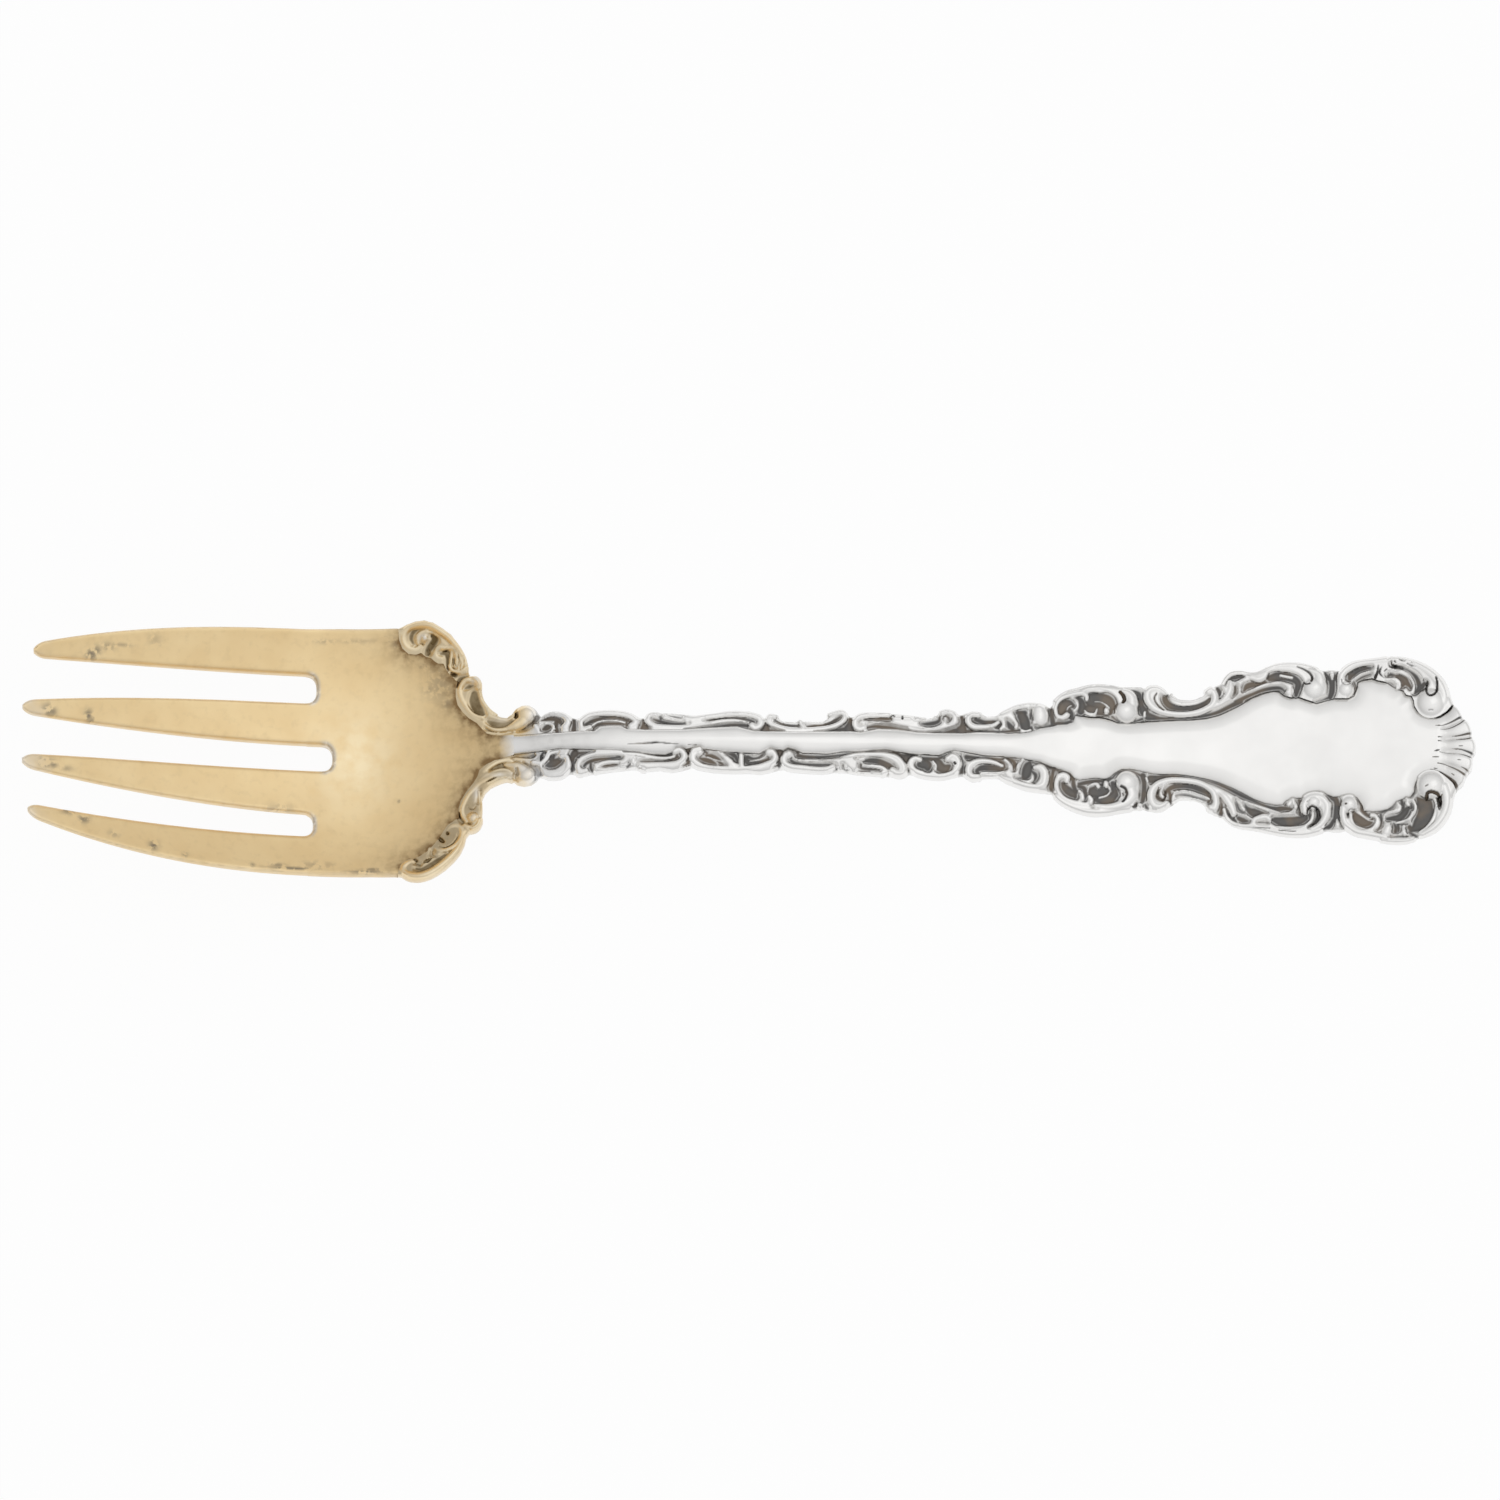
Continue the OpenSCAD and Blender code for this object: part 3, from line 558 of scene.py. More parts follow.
right_shoulder = [
    (-31.5, -11.2), (-31.3, -10.5), (-30.6, -10.05), (-29.6, -9.65), (-28.9, -9.25), (-28.4, -8.75),
    (-27.85, -8.1), (-27.4, -7.4), (-27, -6.8), (-26.5, -6.5), (-26, -6.2), (-26, -5.3), (-25.8, -4.6),
    (-25.3, -3.8), (-24.7, -3.1), (-24.3, -2.5), (-24.1, -1.9), (-23.4, -1.4), (-22.4, -1.1), (-21.5, -0.9),
    (neck_x, -0.8), (neck_x, -0.3), (-18, -0.3), (-18, -5), (-22, -8), (-25, -14), (-31.5, -14),
]
border_half = [
    (neck_x, 2.4), (-15, 2.8), (22, 2.8), (31.2, 6), (40, 4.6), (50.5, 8), (54.5, 7.6), (58, 8.5), (63, 6),
]
# The bend from bowl to stem, how far the back rounds up towards its edges, and what wear has taken off it
bend_start, bend_len = -24, 5
belly, belly_reach, wear = 0.5, 1.1, 0.12


def bent(px):
    """Share of the stem's own section, where the dish of the bowl dies out along the neck."""
    return ease((px - bend_start) / bend_len)


def underside(px, py):
    """Height of the back."""
    x = px + fork_len / 2
    round_back = belly * np.clip(np.abs(py) / swell(border_half, px), 0, belly_reach) ** 2 * bent(px)
    return np.clip(sole(x) + dish(x, py) + round_back - wear, 0, None)


def bowl_depths(px, py):
    """Depth inside the edge of the bowl, and distance from the scrolls on its shoulders."""
    outer = np.maximum(depth_inside(head, px, py), depth_inside(body, px, py))
    scrolls = np.maximum(depth_inside(left_shoulder, px, py), depth_inside(right_shoulder, px, py))
    return outer, -scrolls


def bowl_inside(px, py):
    return np.minimum(*bowl_depths(px, py))


# How thick the sunk borders are, half the width of the plain face between them, and how far it is crowned
stem_border_t, handle_border_t, crown_fall = 1.7, 1.4, 0.3
rib_half = [
    (neck_x, 1.05), (22.7, 1.05), (30.1, 3.1), (34.1, 2.4), (40, 2.65), (47.3, 5.3), (53.5, 4.7), (56.8, 6.1),
    (61.5, 4.5), (65, 4.2),
]


def ground_top(px):
    """Height of the sunk ground of the borders."""
    x = px + fork_len / 2
    thinner = (handle_border_t - stem_border_t) * ease((x - station_knee) / (handle_len / 3))
    return sole(x) + stem_border_t + thinner


def smooth_top(px, py):
    """Height of the plain face: the bowl, and the crowned panel of the stem and handle."""
    x = px + fork_len / 2
    high = sole(x) + thickness(x) - ground_top(px)
    crown = np.clip(1 - crown_fall * (py / swell(rib_half, px)) ** 2, 0, 1) * high
    return bowl_top(px, py) * (1 - bent(px)) + (ground_top(px) + crown) * bent(px)


# Painted shade and grime in the bowl, with the reach of each kind: painted shade with grime close to the
# scrolls, a wider painted shade round them, darker towards the stem, and painted shade up the sides. Then
# the sunk line along the scrolls and the neck.
scroll_shade_and_grime, scroll_shade_and_grime_w, shade_dirt, shade_dirt_w = 0.7, 0.5, 0.34, 1.5
stem_darkening, stem_darkening_x, stem_darkening_len = 0.14, -30, 7
side_painted_shade, side_painted_shade_y, side_painted_shade_w, side_painted_shade_len = 0.05, 6.5, 3.5, 5
outer_fade, outer_fade_w = 0.3, 1.2
scroll_sink, scroll_sink_w, neck_sink, neck_sink_y, neck_sink_w = 0.16, 0.3, 0.14, 0.9, 0.6
neck_start, neck_fade = -22.8, 1.7
# The grey lips at the ends of the slots, where the wash is worn through: where they end along and across,
# how softly, how wide they are and how dark
lip_end_x, lip_end_y, lip_fade_x, lip_fade_y = -36.2, 9.5, 0.8, 1.5
lip_w, lip_soft, lip_dark = 0.18, 0.35, 0.4


def slot_lips(px, py, outer):
    middle_start_x = slot_stations["middle"] - middle_half - fork_len / 2
    start_x = np.where(np.abs(py) < slot_pitch / 2, middle_start_x, root_x)
    lips = ease((lip_end_x - px) / lip_fade_x) * ease((lip_end_y - np.abs(py)) / lip_fade_y)
    return lips * ease((px - start_x) / lip_fade_x) * (1 - ease((outer - lip_w) / lip_soft))


def bowl_relief(px, py):
    outer, scrolls = bowl_depths(px, py)
    neck, edge = ease((px - neck_start) / neck_fade), 1 - ease(outer / edge_w)
    # Painted shade with grime beside the scrolls and a wider painted shade round them, darker towards the
    # stem, fading out at the neck and towards the outer edge; then painted shade up the sides
    grime_and_shade = scroll_shade_and_grime * np.exp(-scrolls / scroll_shade_and_grime_w) + shade_dirt * np.exp(-scrolls / shade_dirt_w)
    grime_and_shade = grime_and_shade + stem_darkening * ease((px - stem_darkening_x) / stem_darkening_len)
    grime_and_shade = grime_and_shade * (1 - neck) * (outer_fade + (1 - outer_fade) * ease(outer / outer_fade_w)) + edge_dirt * edge
    up_side = ease((np.abs(py) - side_painted_shade_y) / side_painted_shade_w)
    grime_and_shade = grime_and_shade + side_painted_shade * up_side * ease((px - root_x) / side_painted_shade_len)
    sunk_line = scroll_sink * np.exp(-scrolls / scroll_sink_w) * (1 - neck)
    neck_line = np.clip(1 - (neck_sink_y - np.abs(py)) / neck_sink_w, 0, 1)
    sunk_line = sunk_line + neck_sink * neck_line ** 2 * neck
    top = smooth_top(px, py) - rounded(outer, top_round) - sunk_line
    lips = slot_lips(px, py, outer)
    stain = np.maximum(spots(wash_stains, px, py), lip_dark * lips)
    bare = np.clip(edge_bare * edge + lips, 0, 1)
    return (top, underside(px, py) + rounded(outer, back_round), np.clip(grime_and_shade, 0, 1), stain, bare,
            spots(painted_highlight_middle, px, py))


bowl_side_y, bowl_step = 12.6, 0.14
bowl = struck("bowl", grid(root_x, neck_x, bowl_step), grid(-bowl_side_y, bowl_side_y, bowl_step),
              bowl_inside, bowl_relief, gilt)
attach(bowl, "root")
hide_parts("bowl")


# The scrolls at the shoulders of the bowl: C-scrolls, curled leaves and a volute on each side, struck
# in relief and gilded with the bowl. They aren't quite alike, because the die was cut by hand.
# A bead is its widths along its length, then the places it runs through.
left_shoulder_beads = [
    ((.4, .6, .6, .5, .35), (-30.95, 10.7), (-30.45, 11.15), (-29.8, 11.33), (-29.1, 11.34), (-28.36, 11.17),
     (-27.5, 10.66), (-26.66, 9.98), (-25.95, 9.12), (-25.5, 8.35), (-25.25, 7.6)),
    ((.3, .45, .45, .4, .3), (-29.4, 11.35), (-30, 11.28), (-30.55, 10.95), (-30.82, 10.43), (-30.7, 9.85),
     (-30.25, 9.43), (-29.7, 9.36), (-29.25, 9.6)),
    ((.25, .35, .3), (-28.4, 10.66), (-28.91, 10.77), (-29.37, 10.57), (-29.53, 10.2), (-29.48, 9.84)),
    ((.6,), (-28.92, 10.22), (-28.92, 10.18)),
    ((.2,), (-28.3, 10.65), (-27.75, 10.35), (-27.2, 9.9), (-26.7, 9.5)),
    ((.3, .35, .35, .3, .3, .3), (-25.9, 9.15), (-26.67, 9.18), (-27.28, 9.24), (-27.69, 9.35),
     (-27.93, 9.03), (-27.85, 8.6), (-27.45, 8.4)),
    ((.25, .3, .35), (-26.5, 8.85), (-26.55, 8.3), (-26.6, 7.85), (-26.68, 7.6), (-26.35, 7.2), (-25.7, 7.05),
     (-25.2, 7.35)),
    ((.3,), (-26.1, 8.6), (-26.05, 8.1), (-26.15, 7.6)), ((.3,), (-25.65, 8.4), (-25.55, 7.8), (-25.65, 7.4)),
    ((.45, .45, .4, .35), (-24.9, 6.35), (-25.4, 6.2), (-25.75, 5.75), (-25.8, 5.2), (-25.6, 4.6),
     (-25.25, 3.95), (-24.8, 3.35), (-24.3, 3), (-23.8, 2.85)),
    ((.4, .5, .4), (-24.9, 6.4), (-24.4, 6.3), (-24.1, 5.9), (-24.05, 5.5)),
    ((.3,), (-24, 5.1), (-23.85, 4.5), (-23.55, 3.95), (-23.1, 3.4), (-22.6, 3)),
    ((.2, .25), (-23.6, 3), (-23, 2.8), (-22.3, 2.58), (-21.7, 2.5), (-21.2, 2.65), (-20.95, 2.95)),
    ((.25, .3, .4, .6), (-23.9, 2.55), (-23.4, 2.05), (-22.9, 1.75), (-22.4, 1.62), (-21.8, 1.62),
     (-21.2, 1.75), (-20.6, 2.05)),
    ((.2,), (-23.4, 1.55), (-22.7, 1.35), (-21.9, 1.28), (-21.2, 1.4), (-20.5, 1.65)),
    ((1.7,), (-19.95, 2.86), (-19.9, 2.82)),
    ((.3, .9, 1.3), (-21.8, 1.62), (-20.9, 1.85), (-20.3, 2.2), (-20, 2.6)),
    ((.4,), (-19.1, 1.75), (-18.8, 1.15)), ((.2,), (-20.85, 2.3), (-20.6, 2.6)),
]
left_shoulder_cuts = [
    ((.35,), (-20.72, 3), (-20.7, 2.7)), ((.3,), (-26.45, 6.95), (-26.25, 6.88)),
    ((.35, .45, .3), (-28.15, 10.35), (-27.98, 10.05), (-28.15, 9.75)),
    ((.3, .35), (-28.55, 9.25), (-28.55, 8.95)),
    ((.1, .16, .1), (-25.96, 8.6), (-25.87, 8.25), (-25.78, 7.9)), ((.14,), (-26.27, 7.95), (-26.1, 7.55)),
    ((.1,), (-25.45, 8.4), (-25.38, 7.8)), ((.14, .2, .1), (-27.3, 8.95), (-26.9, 8.98), (-26.65, 8.7)),
]
right_shoulder_beads = [
    ((.5, .7, .75, .75, .7, .65, .55, .5, .4), (-31.1, -10.85), (-30.75, -11.25), (-30.2, -11.5),
     (-29.44, -11.55), (-28.58, -11.3), (-27.72, -10.75), (-26.9, -10.05), (-26.2, -9.25), (-25.75, -8.4),
     (-25.55, -7.6)),
    ((.25, .4, .5, .45), (-29.9, -10.1), (-30.3, -10.05), (-30.75, -10.25), (-31, -10.6), (-30.85, -11.05)),
    ((.22, .35, .4, .45, .5, .5, .45, .35, .25), (-27.03, -7.3), (-26.71, -7.02), (-26.27, -6.93),
     (-25.87, -7.15), (-25.72, -7.65), (-25.85, -8.25), (-26.2, -8.72), (-26.73, -9.05), (-27.29, -9.22),
     (-27.8, -9.18), (-28.13, -8.97)),
    ((.2, .25), (-28.3, -9.3), (-28.15, -9.58), (-27.8, -9.6)),
    ((.22, .25, .2), (-28.62, -8.95), (-28.72, -9.3), (-28.9, -9.65), (-28.85, -9.95)),
    ((.4, .4, .35, .3), (-25.3, -6.6), (-25.65, -6), (-25.7, -5.4), (-25.5, -4.8), (-25.1, -4.1),
     (-24.6, -3.6), (-24.1, -3.15), (-23.5, -2.85), (-22.9, -2.65), (-22.3, -2.5)),
    ((1.0,), (-24.8, -6.35), (-24.75, -6.3)),
    ((.3,), (-24.2, -3.9), (-24.1, -4.6), (-24.05, -5.4), (-24.1, -6.2)),
    ((.4, .5), (-25.5, -7), (-24.9, -7.3), (-24.4, -7.1), (-24.15, -6.6)),
    ((.3, .4, .4, .4), (-23.7, -2.1), (-23.1, -1.62), (-22.5, -1.32), (-21.9, -1.2), (-21.4, -1.22),
     (-21.05, -1.5)),
    ((.25, .3), (-24.1, -2.9), (-23.6, -2.52), (-23.1, -2.25), (-22.5, -2.06), (-22, -2.02), (-21.5, -2.15),
     (-21.2, -2.4)),
    ((.3,), (-23.3, -3.25), (-22.5, -2.95), (-21.7, -2.8), (-21.2, -2.95)),
    ((.25,), (-22, -1.2), (-21, -1.1), (-20.3, -1.25), (-19.6, -1.6)),
    ((1.6,), (-20, -2.72), (-19.95, -2.68)),
    ((.3, .9, 1.3), (-21.8, -1.6), (-20.9, -1.8), (-20.35, -2.15), (-20.05, -2.55)),
    ((.3,), (-20.9, -1.1), (-19.4, -1.3), (-18.9, -.96), (-19, -.73)),
    ((.5, .35), (-19.3, -1.57), (-18.6, -1.67), (-18.1, -1.3), (-17.8, -.86), (-17, -.7)),
]
right_shoulder_cuts = [
    ((.3, .35), (-20.78, -2.1), (-20.7, -2.6)),
    ((.3, .4, .3), (-27.72, -8.02), (-27.55, -8.25), (-27.4, -8.4)),
    ((.3,), (-27.03, -7.58), (-26.98, -7.66)),
    ((.2, .35, .2), (-29.18, -10.26), (-28.82, -10.12), (-28.5, -9.9)),
    ((.1, .18, .18, .12), (-26.1, -7.7), (-26.22, -8.2), (-26.65, -8.75), (-27.3, -8.98), (-27.8, -8.8)),
    ((.12, .16, .12), (-25.18, -5.28), (-24.95, -5.5), (-24.7, -5.55), (-24.46, -5.28)),
    ((.25,), (-30, -9.85), (-29.8, -10.05)),
    ((.08, .2, .2, .08), (-23.65, -3.12), (-23.2, -2.95), (-22.75, -2.76), (-22.4, -2.66)),
]
left_shoulder_cells = [
    ((.3, .55, .55, .5, .4), (-28.2, 10.4), (-27.95, 10.05), (-28.2, 9.66), (-28.55, 9.25), (-28.65, 8.95)),
    ((.06, .14, .1, .05), (-28.35, 10.85), (-27.8, 10.55), (-27.25, 10.15), (-26.7, 9.65)),
    ((.08, .2, .3, .3, .2), (-28.8, 11.12), (-29.42, 11.07), (-29.94, 10.76), (-30.09, 10.31),
     (-29.94, 9.92)),
    ((.1, .2), (-29.6, 9.6), (-29.1, 9.75)),
    ((.06, .12, .14, .12, .06), (-28.44, 11.45), (-27.67, 11.1), (-27.05, 10.68), (-26.32, 10), (-25.8, 9.3),
     (-25.45, 8.7)),
    ((.2, .4, .45, .35, .25), (-27.45, 8.8), (-26.98, 8.83), (-26.75, 8.4), (-26.8, 7.9), (-26.85, 7.5)),
    ((.06, .1, .06), (-25.4, 8.5), (-25.28, 7.95), (-25.4, 7.55)),
    ((.2, .3, .2), (-26.3, 8.2), (-26.25, 7.8), (-26.3, 7.45)), ((.3, .35), (-26.4, 6.95), (-26.15, 6.85)),
    ((.12, .2), (-25.6, 7.6), (-25.55, 7.2)),
    ((.15, .3, .35, .2), (-25, 6.6), (-25.4, 6.5), (-25.8, 6.35), (-26, 6)),
    ((.15, .3, .15), (-25.3, 5.6), (-25, 5.7), (-24.6, 5.75)),
    ((.5, .8, .8, .75, .4), (-24.5, 5), (-24.5, 4.5), (-24.35, 3.95), (-24.05, 3.45), (-23.8, 3.1)),
    ((.2, .45, .5, .4, .25), (-23.3, 2.5), (-22.8, 2.2), (-22.2, 2.05), (-21.6, 2.1), (-21.15, 2.35)),
    ((.1, .2, .22, .15), (-23.5, 1.85), (-22.9, 1.52), (-22.2, 1.42), (-21.3, 1.5)),
    ((.2, .38, .3), (-20.9, 2.95), (-20.66, 2.7), (-20.6, 2.4)), ((.12, .2), (-21, 2), (-20.8, 2.3)),
    ((.2, .35, .5, .55, .3), (-20.6, 1.55), (-20, 1.75), (-19.5, 2.05), (-19.1, 2.35), (-18.7, 2.65)),
]
right_shoulder_cells = [
    ((.2, .4, .4, .25), (-29.85, -10.8), (-29.3, -10.92), (-28.6, -10.6), (-27.8, -10.08), (-27.3, -9.7)),
    ((.08, .14, .08), (-28.4, -9.2), (-28.35, -9.6), (-27.95, -9.85)),
    ((.15, .25), (-29.85, -10.3), (-29.5, -10.5)),
    ((.05, .1, .1, .06), (-26.9, -9.6), (-26.35, -9.1), (-25.98, -8.5), (-25.8, -8)),
    ((.15, .3, .35, .15), (-26, -5.9), (-25.75, -6.3), (-25.45, -6.6), (-25.1, -6.85)),
    ((.06, .14, .06), (-24.12, -3.9), (-24.12, -4.4), (-24.25, -4.9)),
    ((.1, .4, .5, .5, .3), (-23.15, -1.98), (-22.7, -1.72), (-22.1, -1.6), (-21.5, -1.7), (-21.2, -1.95)),
    ((.15, .3, .35, .2), (-21.05, -1.7), (-20.85, -2), (-20.7, -2.4), (-20.9, -2.75)),
    ((.2, .35, .5, .5, .3), (-20.1, -1.6), (-19.7, -1.8), (-19.3, -2.1), (-19, -2.5), (-18.8, -2.75)),
    ((.25, .25, .1), (-19.15, -3), (-19.3, -3.35), (-19.6, -3.6)),
    ((.12, .25, .3), (-21, -.95), (-20.4, -1), (-19.8, -1.02), (-19.3, -.92)),
]
gilt_rise, bowl_sink = 0.6, 0.35

# The plain face between the two borders, along the stem and the handle and over the shell
left_panel = [
    (-22, 1), (-15, 0.95), (-13.8, 0.9), (-13.3, 1.4), (-12.4, 1.47), (-11.4, 1.45), (-10.85, 1.05),
    (-9, 0.95), (-6, 0.95), (-4, 1.1), (-2, 1.25), (-1, 1.3), (0, 1), (0.5, 0.83), (4.5, 0.8), (8, 0.9),
    (9.1, 0.95), (10, 0.84), (10.8, 1.05), (11.6, 1.27), (13.2, 1.22), (14.2, 1.1), (15.1, 0.94),
    (16.7, 0.91), (19, 0.97), (20.5, 1.1), (22, 1.1), (23.2, 1.05), (24.2, 1.1), (25.2, 1.25), (26, 1.55),
    (27, 1.75), (27.6, 1.95), (28.5, 2.05), (29, 2.3), (29.15, 2.9), (30, 2.8), (30.6, 2.72), (31.3, 2.75),
    (32, 2.65), (32.5, 2.5), (33, 2.32), (34, 2.3), (35, 2.4), (36, 2.5), (38, 2.65), (39.5, 2.7), (41, 2.85),
    (42, 3.1), (43, 3.55), (44, 4.1), (45, 4.7), (46, 5.1), (47, 5.35), (47.5, 5.25), (47.9, 4.9),
    (48.5, 4.7), (49.2, 4.75), (50, 4.45), (50.8, 4.2), (51.5, 4.4), (52.2, 4.6), (53, 4.6), (53.6, 4.6),
    (54.1, 4.85), (54.35, 5.5), (54.45, 6.1), (55, 6.3), (55.8, 6.4), (56.3, 6.2), (57.2, 6), (57.75, 5.6),
    (58.2, 5.4), (58.65, 5.2), (58.8, 4.85), (59.3, 4.75), (59.5, 4.3), (59.55, 3.8), (59.85, 3.3),
    (60.3, 2.98), (60.9, 2.8), (61.5, 2.78),
]
shell_face = [
    (61.8, 2.9), (62.4, 3.3), (62.8, 3.75), (63.2, 4.4), (66, 4.4), (66, -4.4), (63.3, -4.1), (62.9, -3.3),
    (62.5, -2.9), (61.9, -2.4),
]
right_panel = [
    (61.5, -2.25), (61, -2.2), (60.3, -2.4), (59.8, -2.8), (59.55, -3.3), (59.45, -4), (59.1, -4.45),
    (58.6, -4.6), (58.2, -4.75), (57.8, -4.95), (57.5, -5.3), (57, -5.6), (56.4, -5.75), (55.6, -5.8),
    (54.9, -5.7), (54.7, -5.1), (54.3, -4.5), (53.6, -4.3), (53, -4.4), (52.2, -4.42), (51.5, -4.1),
    (50.8, -3.95), (50, -4.1), (49.4, -4.5), (48.5, -4.55), (48, -4.75), (47.7, -5.1), (47, -5.15),
    (46, -4.95), (45, -4.55), (44, -4), (43, -3.5), (42, -3.1), (41, -2.8), (40, -2.6), (39, -2.45),
    (38, -2.35), (37, -2.4), (36, -2.35), (35, -2.15), (34, -1.95), (33.3, -2), (32.7, -2.35), (32.2, -2.8),
    (31.8, -2.95), (31, -2.85), (30.3, -2.95), (29.5, -3.1), (29, -2.9), (28.7, -2.45), (28, -2.2),
    (27, -1.9), (26, -1.5), (25, -1.4), (24.2, -1.25), (22.5, -1.1), (21, -1.05), (20, -0.9), (19, -0.75),
    (18.3, -0.64), (17.7, -0.82), (17, -1.16), (16.1, -1.12), (14.2, -1.02), (13.2, -0.85), (12.2, -0.67),
    (10, -0.88), (8.3, -0.98), (7, -1.19), (4.8, -1.15), (4.1, -0.83), (3.5, -0.65), (3.05, -0.92),
    (2.55, -0.86), (1.9, -0.67), (1.4, -1), (0.9, -1.27), (-0.4, -1.2), (-1.7, -1.1), (-3, -1.02),
    (-4, -0.87), (-4.4, -0.6), (-5, -0.67), (-5.5, -0.85), (-6, -0.67), (-6.5, -0.67), (-6.8, -1.1),
    (-7.5, -1.35), (-8.7, -1.3), (-10, -1.08), (-11, -1), (-13, -0.85), (-15, -0.75), (-17, -0.6),
    (-22, -0.8),
]
plain_face = left_panel + shell_face + right_panel


def in_plain_face(px, py):
    return depth_inside(plain_face, px, py)


def drawn(beads, fuller=0.0):
    """Each bead as close places on a smooth line through its points, with the half width at each."""
    spacing, thin, swelling = 0.05, 0.08, 0.12
    lines = []
    for widths, *points in beads:
        p = np.array(points, float)
        p = np.vstack([2 * p[0] - p[1], p, 2 * p[-1] - p[-2]])
        runs = []
        for a, b, c, d in zip(p, p[1:], p[2:], p[3:]):
            t = np.linspace(0, 1, max(3, int(np.hypot(*(c - b)) / spacing)))[:, None]
            runs.append(0.5 * (2 * b + (c - a) * t + (2 * a - 5 * b + 4 * c - d) * t ** 2
                               + (3 * b - a - 3 * c + d) * t ** 3))
        line = np.vstack(runs)
        along = np.concatenate([[0], np.cumsum(np.hypot(*np.diff(line, axis=0).T))])
        half = np.interp(along / along[-1], np.linspace(0, 1, max(2, len(widths))),
                         widths if len(widths) > 1 else widths * 2) / 2
        half = half + fuller * (0.25 + ease((half - thin) / swelling))
        lines.append((line[:, 0], line[:, 1], half))
    return lines


def carved(lines, px, py, rise):
    """Height of the beads at each place, and depth inside their outlines."""
    far_outside, margin, steepest = -5.0, 0.6, 1.4
    high, depth = np.zeros(px.shape), np.full(px.shape, far_outside)
    for cx, cy, half in lines:
        reach = half.max() + margin
        near = np.flatnonzero((px > cx.min() - reach) & (px < cx.max() + reach)
                              & (py > cy.min() - reach) & (py < cy.max() + reach))
        if not near.size:
            continue
        away = np.hypot(px[near, None] - cx, py[near, None] - cy)
        depth[near] = np.maximum(depth[near], (half - away).max(1))
        crest = np.minimum(rise * (0.7 + 0.9 * half), steepest * half)
        bead = crest * np.clip(1 - (away / half) ** 2, 0, 1) ** 0.6
        high[near] = np.maximum(high[near], bead.max(1))
    return high, depth


def sunk_top(px, py):
    """Height of the ground that the beads stand on."""
    return (bowl_top(px, py) - bowl_sink) * (1 - bent(px)) + ground_top(px) * bent(px)


def merged(first, second, soft):
    """The higher of two heights, with a soft join where they cross."""
    return (first + second + np.sqrt((first - second) ** 2 + soft ** 2) - soft) / 2


# Where the wash is rubbed off the scrolls: place along and across, half length, half width and strength
rubbed_spots = [
    (-29, 10.2, 0.4, 0.35, 1), (-24.3, 6.2, 0.45, 0.4, 0.8), (-24.4, -4.25, 0.3, 0.75, 1),
    (-24.7, -6.3, 0.5, 0.5, 0.7), (-22.6, -2.5, 1, 0.22, 1), (-22, 2.6, 0.9, 0.4, 0.5),
    (-20.2, -2.5, 1.5, 1.2, 1),
]


# A border: how much fuller its beads are than drawn, how far its edges are rounded and stay bright, how deep
# its cuts go, and the share of the painted shade on the left side, where it runs out to the edge instead of
# fading there as on the right
bead_fuller, border_round, bright_w, brightest = 0.05, 0.5, 0.25, 0.25
cut_depth, cut_full, cut_below, left_painted_shade = 0.4, 0.14, 0.1, 0.5
# The dark of its cells: how far outside its line a cell darkens and how softly, where its middle pales a
# little so that a painted shade stays along its edges, the heights at which beads rise out of the dark and
# out of the painted shade, what the painted shade and rubbing take off, and how the face slopes down to a
# cell
dark_margin, dark_soft, pale_depth, pale_soft, paler = 0.1, 0.22, 0.12, 0.25, 0.04
clear_high, clear_soft, lit_high, lit_soft, shade_off, rubbed_off = 0.02, 0.15, 0.08, 0.3, 0.25, 0.7
slope_margin, slope_w, slope_soft = 0.35, 0.45, 0.06


def scroll_work(name, xs, ys, beads, cuts, cells, keep_out, rise, face, spread, shade, metal):
    """A border of scrolls outside the plain faces that keep_out gives: a raised face with beads along the
    scrolls, dark cells sunk between them and fine cuts, and painted shade over what lies below the beads."""
    beads, cuts, cells = drawn(beads, bead_fuller), drawn(cuts), drawn(cells, spread)

    def inside(px, py):
        depth = carved(beads, px, py, rise)[1]
        outer = np.maximum(depth_inside(body, px, py), depth)
        return np.minimum(outer, np.maximum(-keep_out(px, py), depth))

    def relief(px, py):
        high, depth = carved(beads, px, py, rise)
        cut = carved(cuts, px, py, cut_depth)[0]
        cell = carved(cells, px, py, rise)[1]
        outer = np.maximum(depth_inside(body, px, py), depth)
        # The dark of the cells, a little paler in the middle, so that painted shade stays along their edges
        dark = ease((cell + dark_margin) / dark_soft) * (1 - paler * ease((cell - pale_depth) / pale_soft))
        dark = dark * (1 - ease((high - clear_high) / clear_soft)) * (1 - shade_off * shade)
        bare = spots(rubbed_spots, px, py)
        bright_edge = brightest + (1 - brightest) * ease(outer / bright_w)
        # Painted shade on what lies below the beads: a fixed share on the left, and on the right fading out
        # towards the edges, which stay lighter
        low = shade * (1 - ease((high - lit_high) / lit_soft)) * np.where(py > 0, left_painted_shade, bright_edge)
        dark = np.maximum(np.maximum(dark, ease(cut / cut_full)) * bright_edge, low) * (1 - rubbed_off * bare)
        high = merged(high, face * rise * (1 - ease((cell + slope_margin) / slope_w)), slope_soft)
        top = sunk_top(px, py) + high - np.minimum(cut, high + cut_below) - rounded(outer, border_round)
        return top, underside(px, py) + rounded(outer, border_round), dark, np.zeros_like(dark), bare
    return struck(name, xs, ys, inside, relief, metal)


